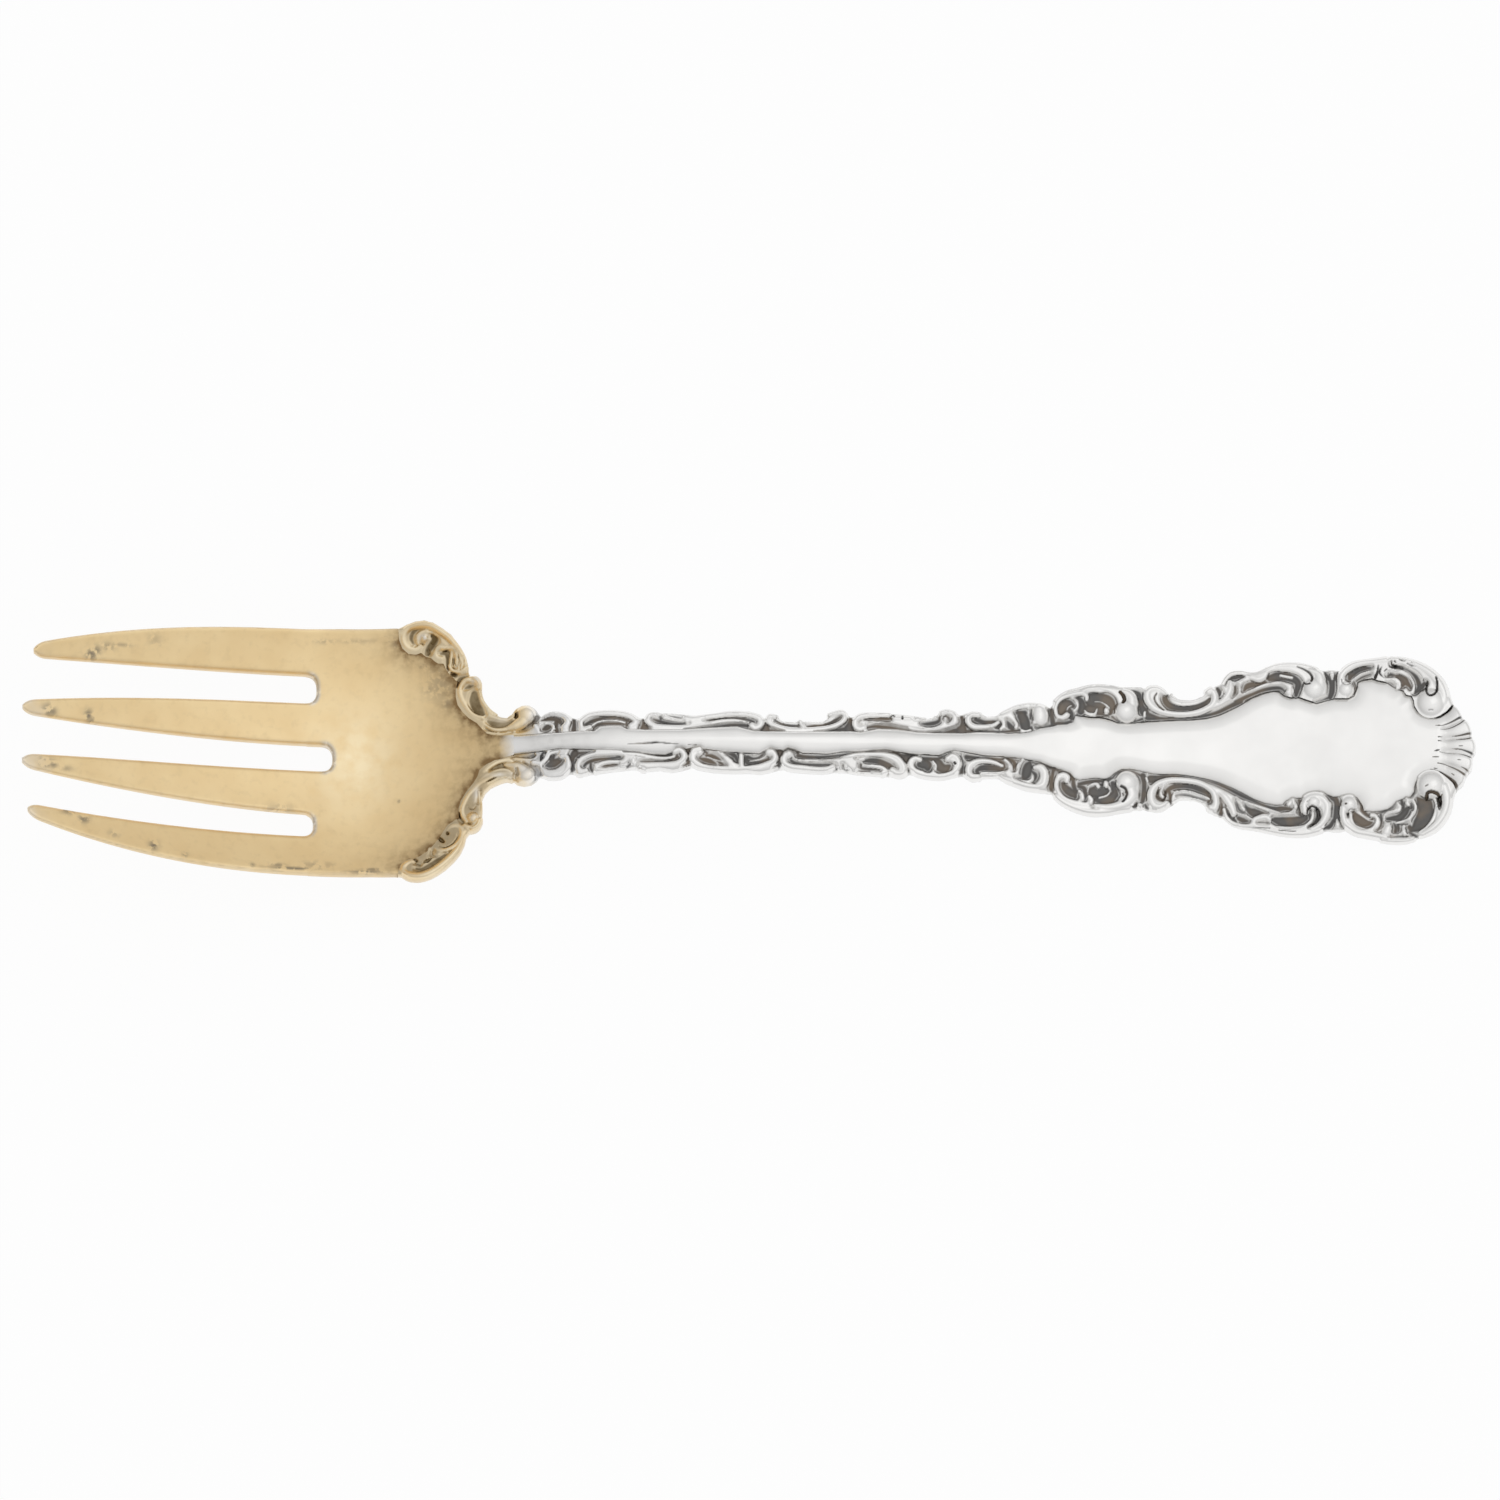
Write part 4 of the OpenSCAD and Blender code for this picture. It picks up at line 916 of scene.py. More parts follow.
scroll_wash = {"gold": (0.95, 0.815, 0.575), "shade": (0.86, 0.69, 0.44), "sunk": (0.16, 0.11, 0.048),
               "fade_from": -0.0197, "fade_to": -0.0184, "satin": 0.32, "smudge": 0.2}
gilt_scroll = metal_finish("worn gilt", scroll_wash)
shoulder_start, scroll_step = -31.9, 0.065
for side, zone, beads, cuts, cells, low_y, high_y in (
        ("left", left_shoulder, left_shoulder_beads, left_shoulder_cuts, left_shoulder_cells, 0.0, 12.0),
        ("right", right_shoulder, right_shoulder_beads, right_shoulder_cuts, right_shoulder_cells,
         -12.6, 0.0)):
    # shade is the share of painted shade below the beads
    shoulder = scroll_work(
        side + "_shoulder_scrolls", grid(shoulder_start, shoulder_end, scroll_step),
        grid(low_y, high_y, scroll_step), beads, cuts, cells,
        lambda px, py: np.maximum(-depth_inside(zone, px, py), in_plain_face(px, py)),
        rise=gilt_rise, face=0.5, spread=0.06, shade=0.45, metal=gilt_scroll)
    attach(shoulder, "root")
    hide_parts(side + "_bowl_scrolls")


# The rib of the stem: the plain crowned strip of silver that runs up the middle of the stem, from the
# gilded bowl to the handle, left smooth when the borders beside it were struck.
silver = metal_finish("worn silver")
rib_silver = metal_finish("silver beside the wash", gold_wash)
knee_x = station_knee - fork_len / 2
rib_cuts = drawn([
    ((.08, .2, .24, .18, .06), (-10.85, -.48), (-9.5, -.42), (-8.2, -.34), (-7.2, -.42), (-6.3, -.48)),
    ((.08,), (-5.4, -.5), (-4.7, -.5)), ((.2,), (18.35, -1.0), (18.45, -1.0))])
rib_cut_depth, rib_cut_full = 0.06, 0.045
# How wide and how far the face rolls down to its borders, on the stem and how much more on the handle
stem_roll, more_roll, stem_drop, more_drop, knee_len = 0.6, 0.7, 0.14, 0.2, 6
# The sunk line along the border, and how dark the line, the painted shade beside it and the darker start of
# the rib are
line_sink, line_sink_w, line_dark, line_dark_w = 0.1, 0.08, 0.3, 0.14
shade_dark, shade_w, rib_start_dark = 0.06, 0.3, 0.12


def plain_relief(px, py):
    depth = in_plain_face(px, py)
    cut = carved(rib_cuts, px, py, rib_cut_depth)[0]
    on_handle, inward = ease((px - knee_x) / knee_len), np.clip(depth, 0, None)
    roll = stem_roll + more_roll * on_handle
    drop = (stem_drop + more_drop * on_handle) * np.clip(1 - depth / roll, 0, 1) ** 2
    top = smooth_top(px, py) - drop - line_sink * np.exp(-inward / line_sink_w) - cut
    # A dark line along the edge and a painted shade beside it; the start of the rib is painted darker
    line = line_dark * (1 - ease(depth / line_dark_w)) + shade_dark * np.exp(-inward / shade_w)
    line = line + rib_start_dark * ease((px - neck_x) / 2) * (1 - ease((px + 19) / 10))
    return top, underside(px, py), np.clip(np.maximum(line, ease(cut / rib_cut_full) * 0.9), 0, 1)


rib = struck("stem_rib", grid(neck_x, knee_x, 0.1), grid(-2.0, 2.0, 0.07),
             in_plain_face, plain_relief, rib_silver)
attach(rib, "root")
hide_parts("stem_rib")


# The borders of the stem: a chain of C-scrolls and S-scrolls along each edge, struck in relief on a sunk
# ground that is left dark, so that the worn scrolls stand out bright.
left_stem_beads = [
    ((.25, .45, .75), (-18.5, 2.5), (-17.7, 2.75), (-17, 2.65), (-16.4, 2.35), (-16.2, 1.85), (-16.45, 1.4)),
    ((.15, .3), (-18.5, 1.75), (-17.95, 1.9), (-17.5, 1.7), (-17.45, 1.35)),
    ((.5, .45, .5, .5, .65), (-14.2, 1.25), (-14.8, 1.15), (-15, 1.55), (-14.9, 2), (-14.4, 2.35),
     (-13.7, 2.5), (-12.7, 2.55), (-11.7, 2.5), (-10.85, 2.33), (-10.2, 1.95), (-10.15, 1.55), (-10.5, 1.3)),
    ((.2,), (-13.9, 1.5), (-13.45, 1.75), (-12.7, 1.87), (-11.9, 1.85), (-11.1, 1.65)),
    ((.35, .5, .45, .35, .25), (-8, 2.4), (-8.7, 2.35), (-9.1, 2), (-8.9, 1.55), (-8.3, 1.3), (-7.3, 1.2),
     (-6, 1.18), (-4.8, 1.35), (-3.5, 1.55), (-2.3, 1.78), (-1.2, 1.85), (-.4, 1.75)),
    ((.4, .2), (-7.5, 2.1), (-6.9, 1.95), (-6.2, 1.82), (-5.6, 1.75)),
    ((.2,), (-7.7, 2.42), (-6.8, 2.38), (-5.9, 2.3), (-5, 2.2)),
    ((.4, .5), (-5.5, 1.75), (-4.8, 2), (-4, 2.1)),
    ((.4, .5, .5, .65), (-3.9, 2.15), (-3, 2.25), (-2, 2.4), (-1.1, 2.45), (-.1, 2.4), (.6, 2.26),
     (1.13, 1.94), (1.07, 1.42), (.62, 1.15), (.3, 1.35)),
    ((.4, .45, .45, .45, .5, .4), (2.45, 2.2), (1.9, 2.25), (1.7, 1.95), (1.95, 1.55), (2.55, 1.3),
     (3.2, 1.12), (4.1, 1.03), (5.1, 1.04), (6.05, 1.1), (7, 1.23), (7.85, 1.5), (8.45, 1.9), (8.65, 2.4),
     (8.3, 2.7), (7.65, 2.56), (7.25, 2.42)),
    ((.2,), (2.55, 2), (3.05, 1.76), (3.8, 1.68), (4.5, 1.72), (5.4, 1.72), (6.2, 1.72), (7, 1.85),
     (7.5, 2.1), (7.7, 2.3)),
    ((.4,), (4.6, 1.75), (4.95, 1.25)),
    ((.35, .4, .5, .55, .65), (12.55, 2.55), (11.6, 2.52), (10.65, 2.49), (9.95, 2.33), (9.55, 1.93),
     (9.55, 1.41), (9.95, 1.17), (10.3, 1.3)),
    ((.35,), (10.15, 1.8), (10.35, 1.8)), ((.15,), (10.65, 1.85), (11.6, 1.81), (12.55, 1.77), (13.2, 1.75)),
    ((.6,), (13.1, 2.2), (14.4, 2.2)),
    ((.4, .3, .35, .4, .5), (15, 1.65), (14.4, 1.4), (15.1, 1.24), (16.05, 1.22), (17, 1.35), (17.8, 1.63),
     (18.3, 2.1), (18.4, 2.7), (17.8, 2.92), (17.3, 2.8)),
    ((.2,), (15.05, 2.2), (15.75, 2.12), (16.4, 2.25), (16.7, 2.48)),
    ((.2,), (14.4, 2.45), (15.1, 2.4), (15.8, 2.35)), ((.25,), (17.6, 2.35), (17.5, 1.7)),
    ((.5, .6, .6, .45, .3), (20.6, 2.7), (20, 2.72), (19.65, 2.4), (19.7, 1.9), (20.1, 1.6), (20.7, 1.58),
     (21.3, 1.62), (21.9, 1.78), (22.3, 2.05)),
    ((.2,), (20.6, 2.65), (21.2, 2.45), (21.8, 2.45), (22.4, 2.5)),
    ((.3, .35), (22.55, 1.45), (22.8, 1.8), (22.75, 2.2), (22.4, 2.5)),
    ((.4, .4, .35), (22.5, 2.65), (23.2, 2.65), (23.65, 2.35), (23.95, 1.95), (23.9, 1.65)),
    ((.3, .45, .45), (22.6, 2.85), (23.2, 3.15), (23.8, 3.4), (24.5, 3.6), (25.2, 3.7), (26, 3.65)),
    ((.25, .3), (24.4, 1.4), (24.75, 1.3), (25.15, 1.38)),
]
right_stem_beads = [
    ((.5, .65, .5, .3), (-16.75, -1.2), (-16.35, -1.3), (-16.2, -1.87), (-16.3, -2.45), (-16.8, -2.87),
     (-17.4, -2.95), (-18, -2.9), (-18.4, -2.63)),
    ((.5, .45, .45, .35, .25), (-14.6, -2.7), (-15.2, -2.8), (-15.35, -2.3), (-15.2, -1.77), (-14.6, -1.37),
     (-13.8, -1.17), (-12.7, -1.14), (-11.75, -1.12), (-11.1, -1.2), (-10, -1.25), (-9, -1.45), (-8, -1.6),
     (-7.2, -1.58), (-6.7, -1.45)),
    ((.4, .3), (-13.7, -2.68), (-13.65, -2.36), (-13.15, -2.05), (-12.4, -1.93), (-11.5, -1.95)),
    ((.25,), (-13, -2.58), (-12.05, -2.46), (-11.1, -2.4)), ((.5,), (-10.35, -2), (-10.35, -1.75)),
    ((.4, .45, .55, .65), (-9.7, -2.22), (-8.1, -2.22), (-7.15, -2.2), (-6.3, -2.05), (-5.8, -1.6),
     (-5.87, -1.13), (-6.25, -.85), (-6.6, -1)),
    ((.35,), (-9.55, -2.6), (-9.35, -2.62)), ((.2,), (-6.8, -2.68), (-6, -2.5), (-5.3, -2.3)),
    ((.65, .4, .5, .5, .65), (-4.4, -.75), (-4.9, -.93), (-5.07, -1.38), (-5, -1.9), (-4.4, -2.3),
     (-3.3, -2.5), (-2, -2.58), (-.75, -2.58), (.5, -2.45), (1, -2.35), (1.6, -2.15), (2.15, -1.9),
     (2.35, -1.45), (2.1, -1), (1.75, -.95)),
    ((.7,), (-4.4, -1.1), (-4.38, -1.08)), ((.8,), (1.83, -1.05), (1.8, -1.05)),
    ((.15,), (-3.7, -1.5), (-3, -1.76), (-2.2, -1.96)),
    ((.35, .5), (-2.4, -1.18), (-2.05, -1.57), (-1.6, -2.03), (-1.1, -2.35)),
    ((.5,), (-.7, -1.35), (-.67, -2.4)), ((.15,), (.1, -1.86), (.75, -1.76), (1.4, -1.55)),
    ((.2,), (1.05, -2.83), (1.9, -2.63), (2.5, -2.4)), ((.8,), (3.6, -1.2), (3.58, -1.2)),
    ((.6, .5, .45), (3.3, -1.25), (3.1, -1.63), (3.2, -2.07), (3.8, -2.35), (4.8, -2.45), (6.05, -2.55),
     (7, -2.5), (7.5, -2.3)),
    ((.25,), (4.45, -1.73), (5.7, -1.72), (7, -1.67), (8, -1.62)), ((.3,), (8.15, -2.05), (8.1, -2.5)),
    ((.3,), (8.65, -2), (8.65, -2.3)),
    ((.35, .4, .5, .6, .65), (8.3, -1.5), (9.35, -1.2), (10.3, -1.1), (11.6, -1.08), (12.55, -1.17),
     (13.2, -1.38), (13.65, -1.83), (13.85, -2.34), (13.75, -2.73), (13.2, -2.76), (12.8, -2.55)),
    ((.3,), (9.7, -1.58), (10.25, -1.51)),
    ((.25, .4), (10.2, -2.1), (11.3, -2.18), (11.9, -2.3), (12.25, -2.63), (11.9, -2.84)),
    ((.2,), (8.9, -2.6), (9.7, -2.75), (11.3, -2.85)),
    ((.45, .5, .45, .45, .55, .65), (15.3, -1.5), (14.85, -1.39), (14.45, -1.67), (14.45, -2.12),
     (14.85, -2.55), (15.6, -2.83), (16.7, -2.95), (17.65, -2.85), (18.4, -2.5), (18.75, -1.9), (18.6, -1.33),
     (18.2, -1.1), (17.8, -1.37)),
    ((.2,), (16.45, -1.6), (16.7, -1.98), (16.65, -2.43)),
    ((.5, .6, .6, .5, .4, .3), (20.5, -2.95), (19.9, -2.95), (19.6, -2.6), (19.7, -2), (20.15, -1.65),
     (20.8, -1.5), (21.5, -1.52), (22.1, -1.66), (22.6, -1.88)),
    ((.3,), (20.8, -2.65), (21.5, -2.6), (22.3, -2.58), (22.9, -2.45)),
    ((.2,), (21, -2.85), (21.8, -2.85), (22.6, -2.8)),
    ((.3, .35), (22.9, -1.35), (23.2, -1.6), (23.4, -1.95), (23.4, -2.35)),
    ((.3,), (24.4, -1.35), (24.1, -1.75), (24, -2.2), (23.9, -2.7)),
    ((.3, .5, .6, .6), (22.6, -2.95), (23.2, -3.2), (23.9, -3.4), (24.5, -3.6), (25.2, -3.75), (25.8, -3.8)),
    ((.2, .35, .25), (25.35, -2.75), (25.3, -3.1), (24.9, -3.32), (24.2, -3.2)),
]
left_stem_cuts = [((.2,), (12.95, 2.5), (13.05, 2.35)), ((.2,), (13.75, 2.4), (13.75, 2.15))]
right_stem_cuts = [((.25,), (18.38, -1.75), (18.42, -1.8))]
silver_rise = 0.5
left_stem_cells = [
    ((.08, .2, .35, .25), (-20.3, 1.2), (-19.8, 1.3), (-19.4, 1.35), (-19.2, 1.2)),
    ((.35, .6, .6, .25), (-18.35, 1.4), (-18.1, 1.5), (-17.9, 1.6), (-17.65, 1.85)),
    ((.2, .45, .6, .65, .5), (-18.5, 2.25), (-17.9, 2.35), (-17.4, 2.35), (-17.05, 2.2), (-16.85, 1.95)),
    ((.5, .4, .45), (-17.2, 1.9), (-17.2, 1.5), (-17.15, 1.15)),
    ((.25, .4, .45, .55), (-15.6, 2.45), (-15.6, 2), (-15.6, 1.5), (-15.65, 1.1)),
    ((.35, .45, .4, .32, .3, .3, .4, .3), (-14.55, 1.6), (-14.1, 1.8), (-13.5, 2), (-12.8, 2.13), (-12, 2.12),
     (-11.3, 2.02), (-10.8, 1.85), (-10.45, 1.8)),
    ((.1, .25, .4, .34, .32, .3, .25), (-14.3, .8), (-14, .98), (-13.75, 1.32), (-13.3, 1.55), (-12.5, 1.6),
     (-11.6, 1.58), (-11, 1.5)),
    ((.3, .25), (-10.9, 1.75), (-10.95, 1.35)),
    ((.25, .3, .5, .9), (-9.45, 2.15), (-9.4, 1.7), (-9.35, 1.35), (-9.3, 1.05)),
    ((.2, .4, .4, .32, .3, .2), (-8.5, 1.95), (-8.1, 1.8), (-7.6, 1.65), (-7, 1.55), (-6.2, 1.52),
     (-5.5, 1.55)),
    ((.12, .3), (-7.92, 2.4), (-7.85, 1.95)), ((.06, .16, .1), (-7.2, 2.22), (-6.7, 2.2), (-6.05, 2.08)),
    ((.06, .14, .25, .34, .4, .4, .4), (-5.6, 1), (-4.5, 1.08), (-3.5, 1.16), (-2.5, 1.3), (-1.5, 1.42),
     (-.7, 1.42), (-.1, 1.38)),
    ((.12, .28, .26, .25, .28, .32), (-3.9, 1.95), (-3.2, 1.9), (-2.4, 1.97), (-1.5, 2.03), (-.6, 2.03),
     (.1, 1.88), (.45, 1.75)),
    ((.2, .15, .2, .3, .2, .08), (0, 1.2), (.2, .95), (.6, .87), (1.3, .98), (2.2, .96), (3, .86)),
    ((.15, .25, .32, .6, .9), (1.42, 2.35), (1.45, 1.9), (1.5, 1.5), (1.55, 1.15), (1.5, .98)),
    ((.3, .3, .3, .3, .25), (2.45, 1.9), (2.9, 1.65), (3.4, 1.48), (3.9, 1.42), (4.5, 1.45)),
    ((.3, .4, .36, .4, .4, .25), (5.3, 1.35), (5.8, 1.4), (6.5, 1.45), (7.2, 1.68), (7.8, 2), (8.2, 2.3)),
    ((.06, .15, .35, .5), (6, .86), (7, .96), (8, 1.1), (8.7, 1.2)),
    ((.3, .4, .6, .9), (9.1, 2.5), (9.1, 2), (9, 1.5), (8.9, 1.2)),
    ((.35, .2, .15), (9.2, 1.1), (9.5, .96), (10, .88)), ((.2, .3, .2), (10, 2), (10.15, 1.82), (10.35, 1.7)),
    ((.2, .4, .4, .35, .3), (10.35, 2.15), (11, 2.25), (11.8, 2.22), (12.5, 2.2), (12.95, 2.35)),
    ((.3, .4, .34, .26, .2, .12), (10.75, 1.4), (11.3, 1.48), (12, 1.45), (12.8, 1.4), (13.5, 1.27),
     (14.3, 1.16), (15, 1.05)),
    ((.08, .1, .15, .3), (14.3, 1.16), (15.4, 1.04), (16.3, .98), (17.2, 1.02)),
    ((.2, .4, .45, .4, .25), (15.5, 1.8), (16, 1.8), (16.6, 1.9), (17, 2.1), (17.1, 2.45)),
    ((.06, .18, .1), (14.9, 2.3), (15.5, 2.33), (16.3, 2.33)),
    ((.2, .2, .28, .2), (17.35, 2.3), (17.6, 2.52), (17.88, 2.4), (17.95, 2.05)),
    ((.2, .4, .45, .7, 1.1), (18.95, 2.8), (19.1, 2.3), (19.15, 1.8), (19.1, 1.4), (19, 1.2)),
    ((.12, .3, .5, .5, .4, .35, .3, .25, .28, .33, .3), (17, 1), (17.8, 1.1), (18.6, 1.25), (19.4, 1.18),
     (20.3, 1.2), (21, 1.17), (22, 1.24), (22.8, 1.24), (23.6, 1.33), (24.2, 1.4)),
    ((.4, .5, .45, .4, .35, .15), (20.28, 2.28), (20.55, 2.2), (21.05, 2.07), (21.6, 2.1), (22, 2.17),
     (22.25, 2.2)),
    ((.3, .6, .4, .12), (22.1, 1.58), (22.4, 1.72), (22.5, 1.95), (22.45, 2.2)),
    ((.12, .4, .6, .45), (23.1, 2.25), (23.25, 1.95), (23.4, 1.7), (23.6, 1.5)),
    ((.45, .5), (24.05, 3), (24.7, 3)),
    ((.95, 1, 1.05, 1, .8), (24.45, 2.7), (24.6, 2.4), (24.7, 2), (24.75, 1.75), (24.9, 1.6)),
    ((.5, .35, .2), (25.2, 1.6), (25.35, 1.4), (25.5, 1.3)),
    ((.3, .25, .12), (25.2, 2.5), (25.22, 2.9), (25.4, 3.35)),
]
right_stem_cells = [
    ((.25, .3, .12), (-18.4, -.72), (-18.6, -1), (-18.75, -1.3)),
    ((.4, .6, .6), (-17.35, -.8), (-17.6, -1.2), (-17.6, -1.7)),
    ((.2, .65, .85, .7, .4), (-18.2, -1.95), (-17.7, -1.85), (-17.3, -1.7), (-16.95, -1.55), (-16.8, -1.4)),
    ((.8, .55, .42, .48, .6), (-15.55, -1), (-15.75, -1.25), (-15.8, -1.7), (-15.85, -2.3), (-16, -2.75)),
    ((.35, .22, .08), (-15.3, -1), (-14.7, -.95), (-14, -.88)),
    ((.3, .4, .4, .34, .3, .3, .25), (-14.75, -2.2), (-14.5, -1.95), (-14, -1.75), (-13.4, -1.65),
     (-12.7, -1.6), (-12, -1.55), (-11.5, -1.5)),
    ((.3, .35, .25), (-14.15, -2), (-14.15, -2.45), (-13.95, -2.8)),
    ((.1, .28, .28, .15), (-13.4, -2.2), (-12.9, -2.25), (-12.3, -2.2), (-11.8, -2.12)),
    ((.08, .2, .25, .15), (-10.3, -1.8), (-10.6, -2.1), (-10.9, -2.4), (-11.4, -2.5)),
    ((.12, .18, .25, .3, .35, .35), (-11, -1), (-10, -1.1), (-9, -1.24), (-8, -1.35), (-7.3, -1.34),
     (-6.95, -1.2)),
    ((.2, .15, .1), (-6.88, -1), (-6.65, -.76), (-6.2, -.66)),
    ((.4, .36, .3, .26, .3, .28, .15), (-6.4, -1.5), (-6.9, -1.75), (-7.7, -1.93), (-8.7, -1.95), (-9.5, -2),
     (-9.8, -2.3), (-9.55, -2.6)),
    ((.9, .34, .3, .36, .7), (-5.45, -.78), (-5.45, -1.1), (-5.42, -1.6), (-5.45, -2.1), (-5.6, -2.45)),
    ((.12, .14, .2, .3), (-5.1, -.78), (-4.5, -.65), (-4.05, -.85), (-3.75, -1.15)),
    ((.25, .5, .52, .25), (-4.42, -1.6), (-4.1, -1.72), (-3.6, -1.85), (-3, -2.08)),
    ((.35, .5, .5, .4, .15), (-3.8, -1.35), (-3.3, -1.45), (-2.8, -1.72), (-2.5, -2.05), (-2.15, -2.3)),
    ((.12, .2, .5, .36, .12), (-2.3, -1.1), (-1.7, -1.2), (-1.25, -1.4), (-1.1, -1.75), (-1, -2.2)),
    ((.3, .28, .2), (-1, -1.22), (-.5, -1.32), (0, -1.5)),
    ((.4, .66, .6, .45, .38, .3), (-.3, -1.55), (-.15, -1.9), (.4, -2.05), (1, -1.95), (1.5, -1.75),
     (1.75, -1.6)),
    ((.45, .3, .25, .28), (-.1, -1.5), (.4, -1.62), (.9, -1.5), (1.2, -1.25)),
    ((.18, .12, .1), (1.25, -1.1), (1.5, -.85), (1.9, -.74), (2.3, -.82)),
    ((.8, .45, .34, .38, .6), (2.75, -.98), (2.72, -1.3), (2.7, -1.8), (2.65, -2.2), (2.45, -2.55)),
    ((.12, .12, .2, .35), (3.1, -.85), (3.6, -.72), (4.2, -.86), (4.4, -1.1)),
    ((.45, .4, .35, .3, .25, .24, .14, .12, .14, .25, .55, .5), (4.4, -1.3), (5, -1.4), (6, -1.42),
     (7, -1.35), (8, -1.22), (9, -1.06), (10, -.98), (11, -.9), (12, -.86), (13, -.96), (13.6, -1.2),
     (13.95, -1.5)),
    ((.35, .42, .34, .3, .3, .28, .22), (3.78, -1.78), (4.1, -1.97), (4.7, -2.1), (5.5, -2.12), (6.5, -2.12),
     (7.2, -2.1), (7.65, -2.2)),
    ((.3, .28), (7.5, -2.55), (7.8, -2.5)), ((.1, .25, .25), (8.4, -2.1), (8.6, -2.45), (8.8, -2.65)),
    ((.3, .52, .6, .6, .6, .45), (10.25, -1.72), (10.9, -1.65), (11.6, -1.72), (12.2, -1.95), (12.7, -2.2),
     (12.95, -2.4)),
    ((.28, .3), (12.35, -2.5), (12.37, -2.9)),
    ((.25, .32, .32, .25), (9.98, -2), (10.05, -2.35), (10.6, -2.42), (11.3, -2.45), (11.65, -2.48)),
    ((.15, .2), (9.8, -2.65), (10.8, -2.62)), ((.08, .1), (9.6, -1.4), (10.2, -1.41)),
    ((.65, .4, .34, .38, .45), (14.05, -1.35), (14.15, -1.8), (14.15, -2.2), (14.2, -2.6), (14.3, -2.85)),
    ((.4, .45, .5), (13.7, -1.12), (14.2, -1.15), (14.9, -1.15)),
    ((.6, 1, 1, .6), (15.25, -1.95), (15.6, -1.85), (15.9, -1.95), (15.95, -2.25)),
    ((.4, .8, 1, .85, .4), (16.5, -1.55), (16.9, -1.7), (17.1, -2.1), (17.5, -2.25), (17.9, -2)),
    ((.3, .45, .45, .3), (15.2, -1.3), (16, -1.4), (16.8, -1.4), (17.3, -1.15)),
    ((.18, .12, .12), (17.4, -1.05), (18, -.84), (18.6, -.95)),
    ((.25, .32, .3, .36, .45), (18.92, -1.1), (19.05, -1.5), (19.1, -2), (19.05, -2.4), (18.9, -2.8)),
    ((.5, .36, .18, .24, .3, .3, .3, .12), (19.45, -1.15), (20.1, -1.17), (21, -1.13), (21.8, -1.22),
     (22.4, -1.3), (23, -1.22), (23.6, -1.32), (24.1, -1.36)),
    ((.12, .4, .45, .2), (23.2, -1.3), (23.65, -1.5), (23.75, -1.8), (23.65, -2.2)),
    ((.2, .36, .36, .25), (22.3, -1.38), (22.68, -1.6), (22.8, -1.88), (22.65, -2.15)),
    ((.35, .6, .65, .65, .6, .4), (20.35, -2.35), (20.8, -2.13), (21.4, -2.08), (22, -2.1), (22.5, -2.15),
     (22.8, -2)),
    ((.4, .25), (20.35, -2.45), (20.6, -2.65)), ((.08, .12, .08), (21, -2.75), (21.8, -2.85), (22.7, -2.85)),
    ((.06, .12, .08), (22.2, -2.98), (22.8, -3.12), (23.3, -3.35)),
    ((.4, .85, 1, .95, .6), (25.1, -1.55), (24.95, -1.9), (24.85, -2.3), (24.75, -2.65), (24.6, -2.9)),
    ((.22, .18, .08), (24.4, -2.92), (24.1, -3), (23.85, -2.95)), ((.12, .1), (24.4, -3.1), (23.95, -3.2)),
    ((.3, .42, .36, .22, .1), (25.3, -2.35), (25.6, -2.65), (25.55, -3), (25.3, -3.35), (25, -3.5)),
    ((.2, .18, .2, .25, .35), (25.1, -1.48), (25.8, -1.57), (26.4, -1.72), (26.9, -1.97), (27.3, -2.17)),
]
for side, beads, cuts, cells, low_y, high_y in (
        ("left", left_shoulder_beads + left_stem_beads, left_stem_cuts, left_shoulder_cells + left_stem_cells,
         0.2, 4.4),
        ("right", right_shoulder_beads + right_stem_beads, right_stem_cuts,
         right_shoulder_cells + right_stem_cells, -4.6, -0.2)):
    # shade is the share of painted shade below the beads
    stem_border = scroll_work(
        side + "_stem_border_scrolls", grid(shoulder_end, knee_x, scroll_step),
        grid(low_y, high_y, scroll_step), beads, cuts, cells, in_plain_face,
        rise=silver_rise, face=0.85, spread=0.0, shade=0.1, metal=silver)
    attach(stem_border, "root")
    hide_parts(side + "_stem_border", side + "_stem_scrolls")


# The panel of the handle: the plain crowned face that widens from the stem to the shell, of polished
# silver worn soft. It ends a little short of the shell, where the first marks of the flutes begin.
shell_x = station_shell - fork_len / 2
flute_start = shell_x - 0.6
panel_side_y = 6.6
handle_panel = struck("handle_panel", grid(knee_x, flute_start, 0.12), grid(-panel_side_y, panel_side_y, 0.1),
                      in_plain_face, plain_relief, silver)
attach(handle_panel, "root")
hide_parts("handle_panel")


